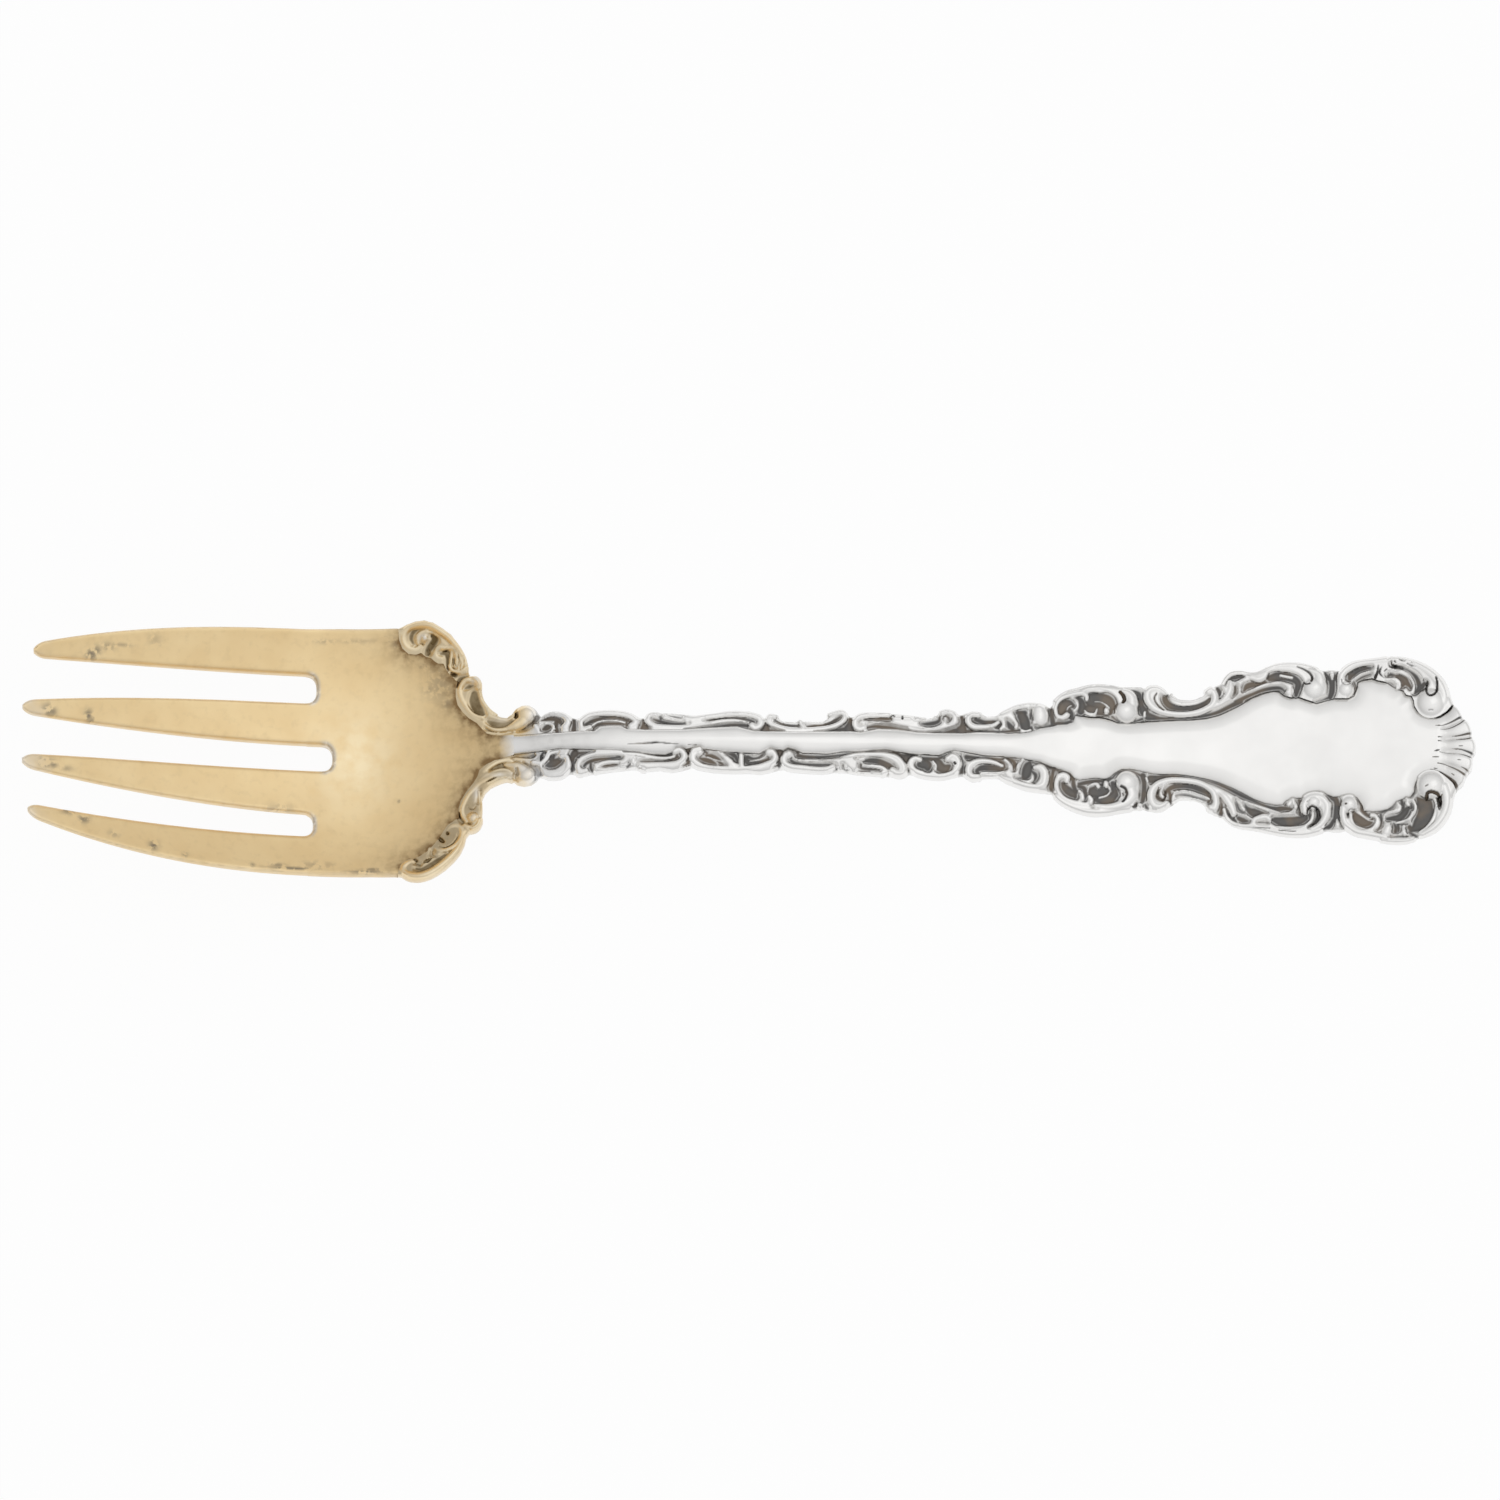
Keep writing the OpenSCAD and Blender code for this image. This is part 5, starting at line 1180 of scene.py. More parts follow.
# The borders of the handle: rococo scrolls, leaves, ties and tendrils along each edge, from the knee to
# the two bulbs beside the shell, struck with the handle on a sunk dark ground.
left_handle_beads = [
    ((1.3, 1.5, 1.4), (26.05, 3.2), (26.1, 2.8), (26.1, 2.45)),
    ((.6, .35, .4, .5, .6, .35), (28.45, 2.85), (28.05, 2.62), (27.6, 2.8), (27.45, 3.3), (27.47, 3.7),
     (27.65, 4.1), (28, 4.42), (28.5, 4.65), (29, 4.8), (29.5, 4.88), (30, 4.85), (30.25, 4.6),
     (30.25, 4.35)),
    ((.25,), (28.9, 4.4), (29.3, 4.25), (29.42, 3.9), (29.35, 3.5), (29.1, 3.3)),
    ((.15,), (28.5, 3.4), (28.6, 3.6), (28.85, 3.75)),
    ((.25, .3, .2), (27.35, 4.15), (27.9, 4.65), (28.6, 5.05), (29.4, 5.25), (30, 5.45), (30.7, 5.6),
     (31.5, 5.65), (32.5, 5.6), (33.4, 5.45), (34.4, 5.5), (35.1, 5.5)),
    ((.35, .35, .3), (30.3, 5.1), (30.9, 5.2), (31.5, 5.15), (32.1, 5.2), (32.6, 5), (32.95, 4.7),
     (33.1, 4.3), (33.1, 4.1)),
    ((.12, .15, .3), (31, 4.18), (31.5, 4.15), (31.95, 3.9), (32.2, 3.6), (32.1, 3.35)),
    ((.5,), (32, 3.4), (32, 3.3)),
    ((.15, .35, .15), (30.05, 3.35), (30.3, 3.1), (30.7, 2.98), (31, 3.1), (31.15, 3.5)),
    ((2.0, 2.1), (33.85, 3.45), (33.8, 3.35)),
    ((.4, .9, 1.2), (33.3, 5.2), (33.8, 5.05), (34.25, 4.6), (34.3, 4)), ((.25,), (35.42, 3.3), (35.4, 2.95)),
    ((.5, .8, .8, .6, .5, .5, .6, .7, .7), (37.2, 5.1), (36.6, 5.4), (36, 5.35), (35.7, 5), (35.7, 4.5),
     (35.95, 4), (36.4, 3.6), (37, 3.35), (37.7, 3.2), (38.5, 3.15), (39.3, 3.18), (40.1, 3.32), (40.8, 3.58),
     (41.4, 3.95), (41.7, 4.5), (41.65, 5), (41.4, 5.35), (41.1, 5.2)),
    ((.3,), (36.6, 4.6), (36.75, 4.2), (37, 3.8), (37.3, 3.5)),
    ((.3, .25, .2), (37.8, 4.95), (37.8, 4.5), (38.15, 4.2), (38.8, 4.05), (39.6, 4.1), (40.3, 4.3),
     (40.9, 4.6), (41.2, 4.82)),
    ((.2,), (38, 4.75), (38.4, 4.48), (39, 4.4), (39.8, 4.42), (40.5, 4.7)),
    ((.3, .6, .7, .5), (41.9, 4.15), (42.4, 4.4), (42.85, 4.9), (43.1, 5.5), (43.1, 6.05)),
    ((.15,), (42.32, 5.9), (42.38, 5.3), (42.2, 4.75)),
    ((.3, .35, .3, .45, .5, .45), (42.45, 6), (42.75, 6.5), (43.25, 6.9), (44, 7), (44.6, 6.9), (45.2, 6.9),
     (45.8, 7.05), (46.5, 7.35), (47.3, 7.6), (48.3, 7.7), (49.2, 7.65), (50, 7.5), (50.8, 7.25)),
    ((.15, .3), (43.3, 4.45), (43.7, 4.8), (43.9, 5.25), (43.95, 5.65)),
    ((.25, .4), (43.45, 5.95), (44, 6.22), (44.55, 6.4)),
    ((.4, .6, .5), (44.6, 6.65), (45.1, 6.5), (45.6, 6.4), (46.05, 6.55), (46.3, 6.9)),
    ((.15, .25, .25, .3, .3), (44.2, 4.97), (45, 5.4), (45.8, 5.75), (46.6, 6), (47.4, 6.1), (48.1, 5.95),
     (48.6, 5.55), (48.6, 5.15), (48.3, 5)),
    ((.5,), (48.3, 5.25), (48.25, 5.2)), ((.25,), (47.6, 6.75), (48.1, 6.65), (48.6, 6.55)),
    ((.3, .4, .45, .3), (46.5, 7.15), (47.3, 7.32), (48.3, 7.28), (49.1, 7.02), (49.65, 6.6), (49.9, 6.2)),
    ((2.1,), (50.6, 5.55), (50.55, 5.5)), ((.6, 1.0, 1.4), (50.3, 7.2), (50.9, 6.9), (51.1, 6.3), (51, 5.7)),
    ((.4, .2), (52.2, 6.8), (52.22, 6.4)), ((1.5,), (53.4, 5.45), (53.4, 5.4)),
    ((.6, .7, .75, .6, .6, .7), (52.95, 5.6), (52.95, 6.2), (53.1, 6.8), (53.5, 7.25), (54.2, 7.65),
     (55, 7.85), (56, 7.95), (57, 8.05)),
    ((.2,), (54.15, 6.4), (54.6, 6.75), (55.1, 6.95), (55.6, 7.1), (55.9, 7.3)),
    ((.3, .2), (56.05, 7.6), (55.98, 7.05), (55.78, 6.6)),
    ((.3, .2), (56.9, 7.8), (56.72, 7.25), (56.62, 6.95)),
    ((.3,), (57.22, 7.9), (57.18, 7.35), (57.05, 6.85)),
    ((.25, .35, .35, .3), (56.5, 6.4), (57.2, 6.28), (57.8, 6.3), (58.15, 6.05), (58.2, 5.7), (58, 5.5)),
    ((.3, .3, .25, .3, .35), (57.4, 7.1), (58.3, 6.95), (58.9, 6.65), (59.35, 6.2), (59.5, 5.7), (59.4, 5.2),
     (59.1, 5), (58.85, 5.2)),
    ((.4, .5), (57.6, 7.75), (58.4, 7.8), (59, 7.6)), ((.25,), (59, 7.95), (59.5, 7.75)),
    ((.5, .6, .9, 1.1, 1.0), (57.5, 8.15), (58.5, 8.05), (59.5, 7.75), (60.4, 7.25), (61.2, 6.6), (61.8, 5.8),
     (62.15, 4.9), (62.1, 4.2)),
    ((2.7,), (61, 4.15), (61, 4.1)), ((.3, .45), (61.1, 6.7), (61.15, 6), (61.05, 5.3), (60.95, 4.95)),
]
left_handle_cuts = [
    ((.3, .35, .3), (33.25, 5.05), (33.5, 4.75), (33.62, 4.4), (33.5, 4.1)),
    ((.15, .2), (36.5, 5), (36.3, 4.6), (36.4, 4.2), (36.75, 3.75), (37.1, 3.5)),
    ((.15, .25), (49.1, 7.5), (49.7, 7.25), (50.2, 6.9), (50.42, 6.5), (50.35, 6.15)),
    ((.2,), (49.65, 6.05), (49.9, 5.88), (50.2, 5.9)),
    ((.12,), (53.05, 6.3), (53.12, 6), (53.3, 5.82), (53.6, 5.8), (53.82, 5.95)),
    ((.2, .25, .2), (61.5, 6.4), (61.6, 5.8), (61.55, 5.2), (61.3, 4.8), (60.95, 4.68), (60.68, 4.9),
     (60.6, 5.4), (60.7, 6)),
    ((.12,), (60.8, 3.35), (61.2, 3.35)), ((.14, .22, .28), (56.33, 7.55), (56.28, 7.03), (56.06, 6.45)),
    ((.1, .22, .18, .1), (56.64, 7.43), (56.43, 6.97), (56.55, 6.7), (56.83, 6.44)),
    ((.14,), (57.08, 7.22), (56.9, 7.02)),
    ((.12, .26, .22, .2), (57.52, 7.98), (57.57, 7.62), (58.04, 7.5), (58.5, 7.3)),
    ((.16, .08), (57.82, 7.94), (57.96, 7.71)), ((.06, .16, .08), (58.05, 8.14), (58.39, 8), (58.78, 7.91)),
    ((.14, .16, .06), (58.92, 7.7), (59.29, 7.5), (59.72, 7.4)), ((.12, .06), (59.27, 7.81), (59.58, 7.68)),
]
right_handle_beads = [
    ((.4, .7, .8, .75, .6), (25.55, -2), (26.05, -1.95), (26.4, -2.35), (26.45, -2.9), (26.3, -3.5),
     (25.8, -3.8)),
    ((.5, .45, .4, .4, .5, .5), (28.4, -3.15), (28.45, -2.8), (28.1, -2.6), (27.7, -2.75), (27.5, -3.2),
     (27.45, -3.7), (27.55, -4.2), (27.9, -4.6), (28.4, -4.9), (29, -5.1), (29.6, -5.25), (30.1, -5.3)),
    ((.3,), (29.5, -4.05), (29.75, -4.3), (29.8, -4.7), (29.6, -5)),
    ((.35,), (30.4, -4.55), (30.6, -4.8), (30.5, -5.1), (30.2, -5.3)),
    ((.4, .5, .6, .5, .5), (27.4, -4.5), (27.9, -4.95), (28.6, -5.35), (29.4, -5.65), (30.2, -5.85),
     (31.2, -5.9), (32.2, -5.8), (33.1, -5.6), (34, -5.45)),
    ((2.1,), (33.8, -3.2), (33.8, -3.15)),
    ((1.3, 1.1, .8, .5), (34.1, -3.8), (34.2, -4.4), (33.7, -5), (32.9, -5.35), (32, -5.5), (31, -5.4)),
    ((.3,), (33.1, -3.85), (33.32, -4.2), (33.3, -4.7), (33, -5.1)),
    ((.15, .2, .4), (30.25, -4.05), (30.35, -3.6), (30.7, -3.38), (31.1, -3.4), (31.2, -3.6)),
    ((.4, .15, .2, .2), (31.9, -3.4), (32.2, -3.7), (32.2, -4.1), (31.9, -4.4), (31.3, -4.6)),
    ((.5,), (31.92, -3.5), (31.9, -3.3)), ((.15,), (30.6, -5.3), (30.9, -5.25)),
    ((.5,), (34.9, -5.3), (34.92, -5.25)), ((.22,), (35.5, -2.7), (35.6, -3)),
    ((.5, .8, .8, .6, .5, .5, .55, .65, .7), (37.3, -5), (36.7, -5.35), (36.2, -5.2), (35.95, -4.7),
     (35.95, -4.1), (36.2, -3.6), (36.7, -3.2), (37.4, -2.95), (38.2, -2.87), (39.2, -2.92), (40.1, -3.08),
     (40.8, -3.38), (41.4, -3.85), (41.65, -4.4), (41.7, -5), (41.55, -5.45), (41.2, -5.4)),
    ((.3,), (36.95, -3.5), (36.8, -3.85), (36.82, -4.2), (36.95, -4.4)),
    ((.3, .25, .2), (37.9, -4.8), (37.92, -4.3), (38.2, -4.02), (38.8, -3.9), (39.6, -3.97), (40.3, -4.15),
     (40.9, -4.42), (41.1, -4.55)),
    ((.2,), (38, -4.75), (38.5, -4.5), (39.2, -4.5), (40, -4.6), (40.6, -4.85)),
    ((.4, .7, .8, .6), (41.9, -3.85), (42.4, -4.25), (42.8, -4.75), (43.1, -5.3), (43.3, -5.9)),
    ((.3,), (42.42, -5.5), (42.6, -6.1), (43, -6.6), (43.4, -6.85)),
    ((.2, .3), (43.6, -4.65), (43.9, -5.05), (44.2, -5.5)),
    ((.2, .3, .3, .25, .3, .35), (43.8, -4.6), (44.5, -4.87), (45.3, -5.17), (46.2, -5.47), (47, -5.72),
     (47.8, -5.88), (48.5, -5.72), (48.85, -5.3), (48.72, -4.9), (48.4, -4.8), (48.2, -5.05)),
    ((.2, .3), (43.7, -5.85), (44.3, -6.1), (44.9, -6.4), (45.3, -6.5)),
    ((.5, .6, .5), (45.2, -6.4), (45.7, -6.25), (46.15, -6.2), (46.45, -6.4)),
    ((.3, .4, .4, .45, .5), (42.7, -6.4), (43.3, -6.8), (44, -7), (45, -7.1), (46, -7.3), (47, -7.52),
     (48, -7.68), (49, -7.72), (50, -7.62), (51, -7.35)),
    ((.25, .35, .35, .3), (44.8, -6.85), (46, -6.92), (47, -7.13), (48.2, -7.23), (49.3, -7.12), (50, -6.78),
     (50.3, -6.3), (50.35, -5.75)),
    ((.7, .8, .7, .7, .6), (49.65, -5.7), (49.6, -5.1), (49.95, -4.6), (50.6, -4.4), (51.2, -4.55),
     (51.6, -5.1), (51.6, -5.8), (51.35, -6.5), (50.9, -7.05), (50.3, -7.4)),
    ((1.4,), (50.4, -4.85), (50.45, -4.85)), ((.2, .4), (52.52, -6.45), (52.55, -6.9)),
    ((1.5,), (53.6, -5.1), (53.6, -5.05)),
    ((.7, .6, .6, .6, .6), (53.1, -5.4), (53.05, -6), (53.2, -6.7), (53.6, -7.2), (54.3, -7.6), (55.2, -7.8),
     (56.2, -8), (57, -8.2)),
    ((.3, .35, .3, .3, .4, .35), (53.75, -6), (53.8, -6.5), (54.05, -7), (54.6, -7.28), (55.3, -7.4),
     (55.9, -7.25), (56.15, -6.9), (56.15, -6.5), (55.9, -6.15), (55.6, -6.1)),
    ((.15,), (54.3, -5.8), (54.8, -6.15), (55.3, -6.5), (55.7, -6.6)),
    ((.2, .3, .35, .35, .25), (56.7, -6.5), (56.78, -6.15), (57.1, -5.9), (57.6, -5.8), (58.05, -5.65),
     (58.15, -5.3), (57.95, -5.05)),
    ((.25, .3, .3, .3, .35), (57.9, -6.8), (58.5, -6.65), (59.1, -6.35), (59.45, -5.9), (59.55, -5.3),
     (59.35, -4.85), (59, -4.75), (58.78, -4.98), (58.9, -5.15)),
    ((.12, .4, .8, .9), (57.26, -6.66), (57.18, -7.03), (57.02, -7.4), (56.92, -7.65)),
    ((.34, .28, .42), (58.49, -7.18), (58.4, -7.45), (58.55, -7.8)),
    ((.16, .2), (57.65, -7.88), (58.3, -7.88)),
    ((.4, .5, .4), (56.5, -8.3), (57.5, -8.4), (58.5, -8.4), (59.3, -8.25)),
    ((.3, .35, .3), (59.9, -7.72), (60.5, -7.3), (61, -6.7), (61.3, -6), (61.4, -5.2), (61.28, -4.7)),
    ((.4, .8, .9, 1.0, 1.0), (60, -7.95), (60.9, -7.45), (61.6, -6.8), (62.1, -6), (62.35, -5.1),
     (62.3, -4.3), (62.1, -3.6)),
    ((2.6,), (60.95, -3.45), (60.95, -3.4)),
]
right_handle_cuts = [
    ((.25,), (33.25, -3.6), (33.6, -3.8), (33.75, -4.2), (33.65, -4.6), (33.4, -4.95)),
    ((.15,), (36.6, -3.6), (36.45, -4.2), (36.65, -4.6), (36.95, -4.7), (37.15, -4.4), (37.2, -3.85)),
    ((.2, .25, .15), (49.85, -5.9), (49.95, -5.5), (50.3, -5.28), (50.72, -5.5), (50.88, -6), (50.75, -6.5),
     (50.4, -6.9), (50.1, -7.15)),
    ((.1,), (49.85, -4.85), (50.1, -4.72)),
    ((.12,), (53.5, -5.95), (53.55, -5.7), (53.8, -5.57), (54.1, -5.6)), ((.2,), (53.3, -5.1), (53.35, -5.1)),
    ((.35, .3, .35, .25, .15), (60.55, -4.6), (60.6, -4.25), (60.9, -4.1), (61.2, -4.15), (61.55, -4.3),
     (61.75, -4.7), (61.83, -5.1), (61.8, -5.5)),
    ((.15,), (60.45, -3.6), (60.65, -3.5)), ((.12,), (45, -7.2), (46.5, -7.25)),
    ((.12,), (47.3, -7.45), (48.8, -7.55)), ((.12,), (57, -8.15), (58.8, -8.1)),
]
left_handle_cells = [
    ((.35, .45, .5, .55), (27, 3.85), (27.05, 3.2), (27.15, 2.5), (27.22, 2.05)),
    ((.2, .25, .4, .4, .35), (25.6, 1.65), (26.2, 1.62), (27, 1.85), (27.6, 2.1), (28.2, 2.12), (28.8, 2.3)),
    ((.8, 1.1, .9, .5), (27.95, 3.25), (28.2, 3.7), (28.6, 3.9), (29, 3.75)),
    ((.5, .6, .5), (28.65, 3.4), (28.8, 3.05), (28.9, 2.6)),
    ((.3, .55, .8, .7), (29.35, 4.6), (29.75, 4.2), (29.85, 3.6), (29.7, 3.25)),
    ((1.4, 1.6, 1.4, 1), (30.7, 4.3), (31.4, 4.25), (32.1, 4.15), (32.4, 3.8)),
    ((.9, 1, .9), (30.4, 3.5), (31.3, 3.4), (32.2, 3.35)),
    ((.15, .5, .55, .5, .6, .9, .7), (33.8, 5.2), (34.5, 5.1), (34.9, 4.9), (35.05, 4.4), (35.15, 3.8),
     (35.4, 3.3), (35.7, 2.9)),
    ((.25, .2, .2, .3), (32.5, 2.85), (33, 2.5), (33.8, 2.38), (34.6, 2.48), (35.2, 2.7)),
    ((.5, .65, .7, .6, .55, .55, .5, .3), (37.35, 5), (37.25, 4.5), (37.6, 4), (38.3, 3.78), (39.2, 3.74),
     (40.1, 3.88), (40.8, 4.2), (41.2, 4.6)),
    ((.8, .35, .28, .26, .3, .35, .4, .45, .55), (35.7, 2.95), (36.6, 2.8), (37.6, 2.77), (38.8, 2.8),
     (40, 2.9), (41, 3.1), (42, 3.4), (43, 3.9), (44, 4.4)),
    ((.2, .4, .35, .12), (41.8, 5.75), (42.05, 5.4), (42.2, 5), (42.12, 4.5)),
    ((.25, .3, .12), (43.55, 5.75), (43.55, 5.3), (43.35, 4.75)),
    ((.12, .3, .5, .4, .12), (42.65, 5.95), (42.9, 6.35), (43.5, 6.58), (44.1, 6.66), (44.6, 6.6)),
    ((.25, .6, .6, .5, .3), (44.3, 5.35), (44.6, 5.75), (45.2, 5.95), (45.8, 6), (46.3, 6.15)),
    ((.6, .9, .9, .8, .7, .6, .4), (46.6, 6.5), (47.3, 6.65), (48.1, 6.65), (48.8, 6.4), (49.15, 6),
     (49.05, 5.4), (48.95, 4.95)),
    ((.5, .42, .36, .38, .42, .4, .2), (43.6, 4.3), (44.4, 4.75), (45.2, 5.1), (46, 5.42), (46.9, 5.6),
     (47.6, 5.58), (48.05, 5.2)),
    ((.3, .35, .5), (51.35, 7.2), (51.6, 6.9), (51.95, 6.4)),
    ((.3, .35, .5), (52.85, 7.2), (52.65, 6.8), (52.4, 6.4)),
    ((.7, .6, .6, .5), (52.15, 6.4), (52.2, 5.8), (52.15, 5.2), (52, 4.75)),
    ((.3, .15, .08), (51.85, 4.7), (51.3, 4.5), (50.7, 4.32)),
    ((.4, .75, .6, .5, .25), (53.75, 6.4), (53.95, 6.85), (54.5, 7.2), (55.1, 7.35), (55.65, 7.4)),
    ((.2, .25, .2), (54.35, 6.2), (54.9, 6.55), (55.6, 6.8)),
    ((.25, .25, .2, .12), (54.15, 6.1), (54.3, 5.6), (54.15, 5.1), (53.8, 4.75)),
    ((.25, .36, .25), (57.2, 6.6), (57.4, 6.75), (57.8, 6.7)),
    ((.3, .7, .75, .5, .3), (57.9, 6.65), (58.5, 6.4), (58.85, 6), (59.12, 5.7), (59.2, 5.5)),
    ((.6, .35), (58.5, 5.9), (58.3, 5.6)), ((.1, .16, .1), (57.2, 6.02), (57.55, 5.9), (57.75, 5.62)),
    ((.3, .22, .2, .25, .42, .5, .6, .3), (57.6, 7.65), (58, 7.5), (58.6, 7.32), (59.2, 7), (59.7, 6.5),
     (59.95, 5.9), (60, 5.5), (59.6, 5.05)),
    ((.55, .45), (60.2, 5.6), (60.45, 5.9)),
]
right_handle_cells = [
    ((.1, .12, .3, .3, .36, .5), (25.4, -1.55), (26.4, -1.74), (27.2, -2.02), (28, -2.34), (28.6, -2.58),
     (28.95, -3)),
    ((.4, .4, .45, .5, .15), (27.2, -2.1), (27.1, -2.8), (27.02, -3.4), (27, -3.95), (27.2, -4.35)),
    ((.45, .72, .88, .8, .4), (28.05, -3.4), (28.27, -3.8), (28.68, -4.15), (29.02, -4.38), (29.12, -4.6)),
    ((.4, .5, .45), (28.95, -3.05), (29.02, -3.6), (29.2, -4.15)),
    ((.4, .5, .5, .3), (29.45, -3.6), (29.88, -3.75), (30.05, -4.2), (29.97, -4.75)),
    ((.4, .45, .42, .4, .3), (29.5, -3.4), (30.2, -3.22), (31, -3.08), (31.9, -3.02), (32.4, -2.78)),
    ((1.05, 1.3, 1.2), (30.75, -4.1), (31.3, -4), (31.8, -3.7)),
    ((.55, .85, 1, .75), (30.95, -4.75), (31.6, -4.8), (32.3, -4.6), (32.65, -4.2)),
    ((.5, .65, .6), (32.5, -3.25), (32.6, -3.7), (32.75, -4.3)), ((.28, .3), (30.76, -4.7), (30.76, -5.12)),
    ((.22, .28), (30.86, -5.45), (31.08, -5.36)), ((.4, .3), (31.7, -5.1), (32, -5.28)),
    ((.12, .32, .34, .28, .12), (33, -3.55), (33.4, -3.56), (33.7, -3.86), (33.7, -4.3), (33.45, -4.85)),
    ((.25, .25, .2, .24, .45), (32.5, -2.75), (32.8, -2.38), (33.4, -2.08), (34.2, -2.1), (34.9, -2.42),
     (35.4, -2.7)),
    ((.6, .5, .5, .55, .45), (35.2, -2.5), (35.3, -3.1), (35.3, -3.7), (35.25, -4.3), (35.15, -4.8)),
    ((.3, .5, .3), (34.3, -5.35), (34.5, -5.22), (34.68, -5.1)), ((.25, .35), (35.38, -5.15), (35.55, -5.5)),
    ((.8, .5, .34, .25, .18, .2, .25, .34, .38, .45, .36, .3, .34, .55, .35), (35.9, -2.8), (36.5, -2.7),
     (37, -2.57), (38, -2.48), (39, -2.53), (40, -2.68), (41, -2.9), (42, -3.22), (43, -3.68), (44, -4.2),
     (45, -4.66), (46, -5.1), (47, -5.4), (47.85, -5.4), (48.4, -5.45)),
    ((.3, .2), (47.9, -5.1), (48.2, -4.85)),
    ((.08, .18, .28, .3), (36.7, -3.5), (36.5, -4), (36.6, -4.45), (36.95, -4.6)),
    ((.32, .38, .5, .58, .58, .58, .58, .48, .36), (36.98, -4.58), (37.15, -4.2), (37.4, -3.78), (38, -3.45),
     (38.8, -3.33), (39.6, -3.43), (40.3, -3.68), (40.9, -4.02), (41.2, -4.5)),
    ((.4, .4, .4, .4), (37.5, -3.85), (37.63, -4.3), (37.63, -4.75), (37.75, -5.02)),
    ((.12, .22, .2, .2, .2), (38.2, -4.25), (38.7, -4.2), (39.3, -4.26), (40, -4.46), (40.7, -4.66),
     (41.1, -4.8)),
    ((.4, .35), (41.2, -4.5), (41.02, -4.85)),
    ((.08, .2, .4, .45), (42.05, -4.3), (42.2, -4.9), (42.2, -5.5), (42.12, -5.95)),
    ((.15, .28, .38, .42, .3), (42.45, -5.2), (42.7, -5.7), (43, -6.1), (43.3, -6.42), (43.45, -6.58)),
    ((.45, .55, .3), (43.72, -6.3), (44.1, -6.48), (44.5, -6.55)),
    ((.1, .25, .28, .2), (43.5, -4.6), (43.65, -5.2), (43.85, -5.58), (44.3, -5.75)),
    ((.12, .5, .85, .45, .15), (44.28, -4.98), (44.5, -5.4), (45, -5.75), (45.5, -5.76), (46.2, -5.85)),
    ((.6, .95, .95, .9, .7), (46.98, -6.45), (47.6, -6.6), (48.4, -6.6), (49.1, -6.5), (49.65, -6.25)),
    ((.6, .45, .4, .4), (49.3, -5.9), (49.2, -5.4), (49.2, -5), (49.15, -4.65)),
    ((.06, .12), (45.5, -6.7), (46.3, -6.67)),
    ((.28, .28, .34, .4, .4, .28, .12), (49.9, -5.75), (50.15, -5.42), (50.5, -5.45), (50.75, -5.75),
     (50.75, -6.2), (50.55, -6.6), (50.1, -7.12)),
    ((.4, .25), (49.96, -5.8), (50.08, -6.3)),
    ((.25, .65, .6, .6, .7, .75), (51.7, -4.18), (52.3, -4.52), (52.5, -4.9), (52.5, -5.5), (52.5, -6),
     (52.45, -6.45)),
    ((.4, .48, .4), (52.2, -6.5), (51.9, -7), (51.35, -7.3)),
    ((.3, .36, .15), (52.85, -6.5), (53.08, -7), (53.45, -7.4)),
    ((.3, .4, .3), (53.52, -6), (53.66, -5.72), (54, -5.68)),
    ((.5, .95, 1, .65, .25), (54.12, -5.95), (54.4, -6.4), (54.9, -6.72), (55.4, -6.72), (55.72, -6.4)),
    ((.12, .4, .48, .42, .25), (54.3, -4.58), (54.72, -5.1), (54.8, -5.6), (55.2, -6.05), (55.6, -6.3)),
    ((.12, .18, .28, .25, .15), (55.3, -5.92), (56.3, -5.86), (57, -5.6), (57.5, -5.38), (57.72, -5.08)),
    ((.28, .34, .3, .2), (56.42, -6), (56.46, -6.5), (56.4, -7), (56.12, -7.48)),
    ((.08,), (56.1, -7.6), (56.7, -7.6)),
    ((.35, .55, .75, .72, .45), (57, -6.42), (57.5, -6.38), (58.1, -6.3), (58.6, -5.82), (58.9, -5.38)),
    ((.5, .48, .35), (58.42, -5.6), (58.38, -5.1), (58.3, -4.78)),
    ((.25, .35, .25), (58.9, -5.5), (59.2, -5.42), (59.15, -5.1)),
    ((.25, .85, 1.4, 1.55, 1.52, 1.35, .85, .4), (59.7, -4.5), (60, -4.88), (60.35, -5.3), (60.46, -5.75),
     (60.32, -6.3), (60, -6.8), (59.5, -7.28), (59.08, -7.45)),
    ((.4, .5, .6, .6), (60.6, -4.3), (60.7, -4.6), (60.78, -4.95), (60.85, -5.3)),
    ((.5, .55, .55, .45, .28, .12), (60.68, -4.75), (60.66, -4.3), (61.1, -4.22), (61.48, -4.34),
     (61.7, -4.8), (61.8, -5.45)),
    ((.22, .4, .42), (57.58, -6.85), (57.76, -7.22), (57.72, -7.6)),
    ((.35, .36, .25), (57.95, -7.04), (58, -7.36), (57.95, -7.62)), ((.2, .22), (57.7, -6.97), (58.8, -6.93)),
    ((.5, .55), (59, -7.2), (59.15, -7.45)),
    ((.1, .22, .2, .15), (57, -8.13), (57.6, -8.1), (58.3, -8.06), (58.8, -8.1)),
    ((.25, .36, .2), (58.94, -7.65), (59.35, -7.92), (59.75, -8.12)),
    ((.08, .18, .36, .2), (59.66, -3), (59.5, -3.6), (59.36, -4.15), (59.1, -4.42)),
]
border_end = 63.6
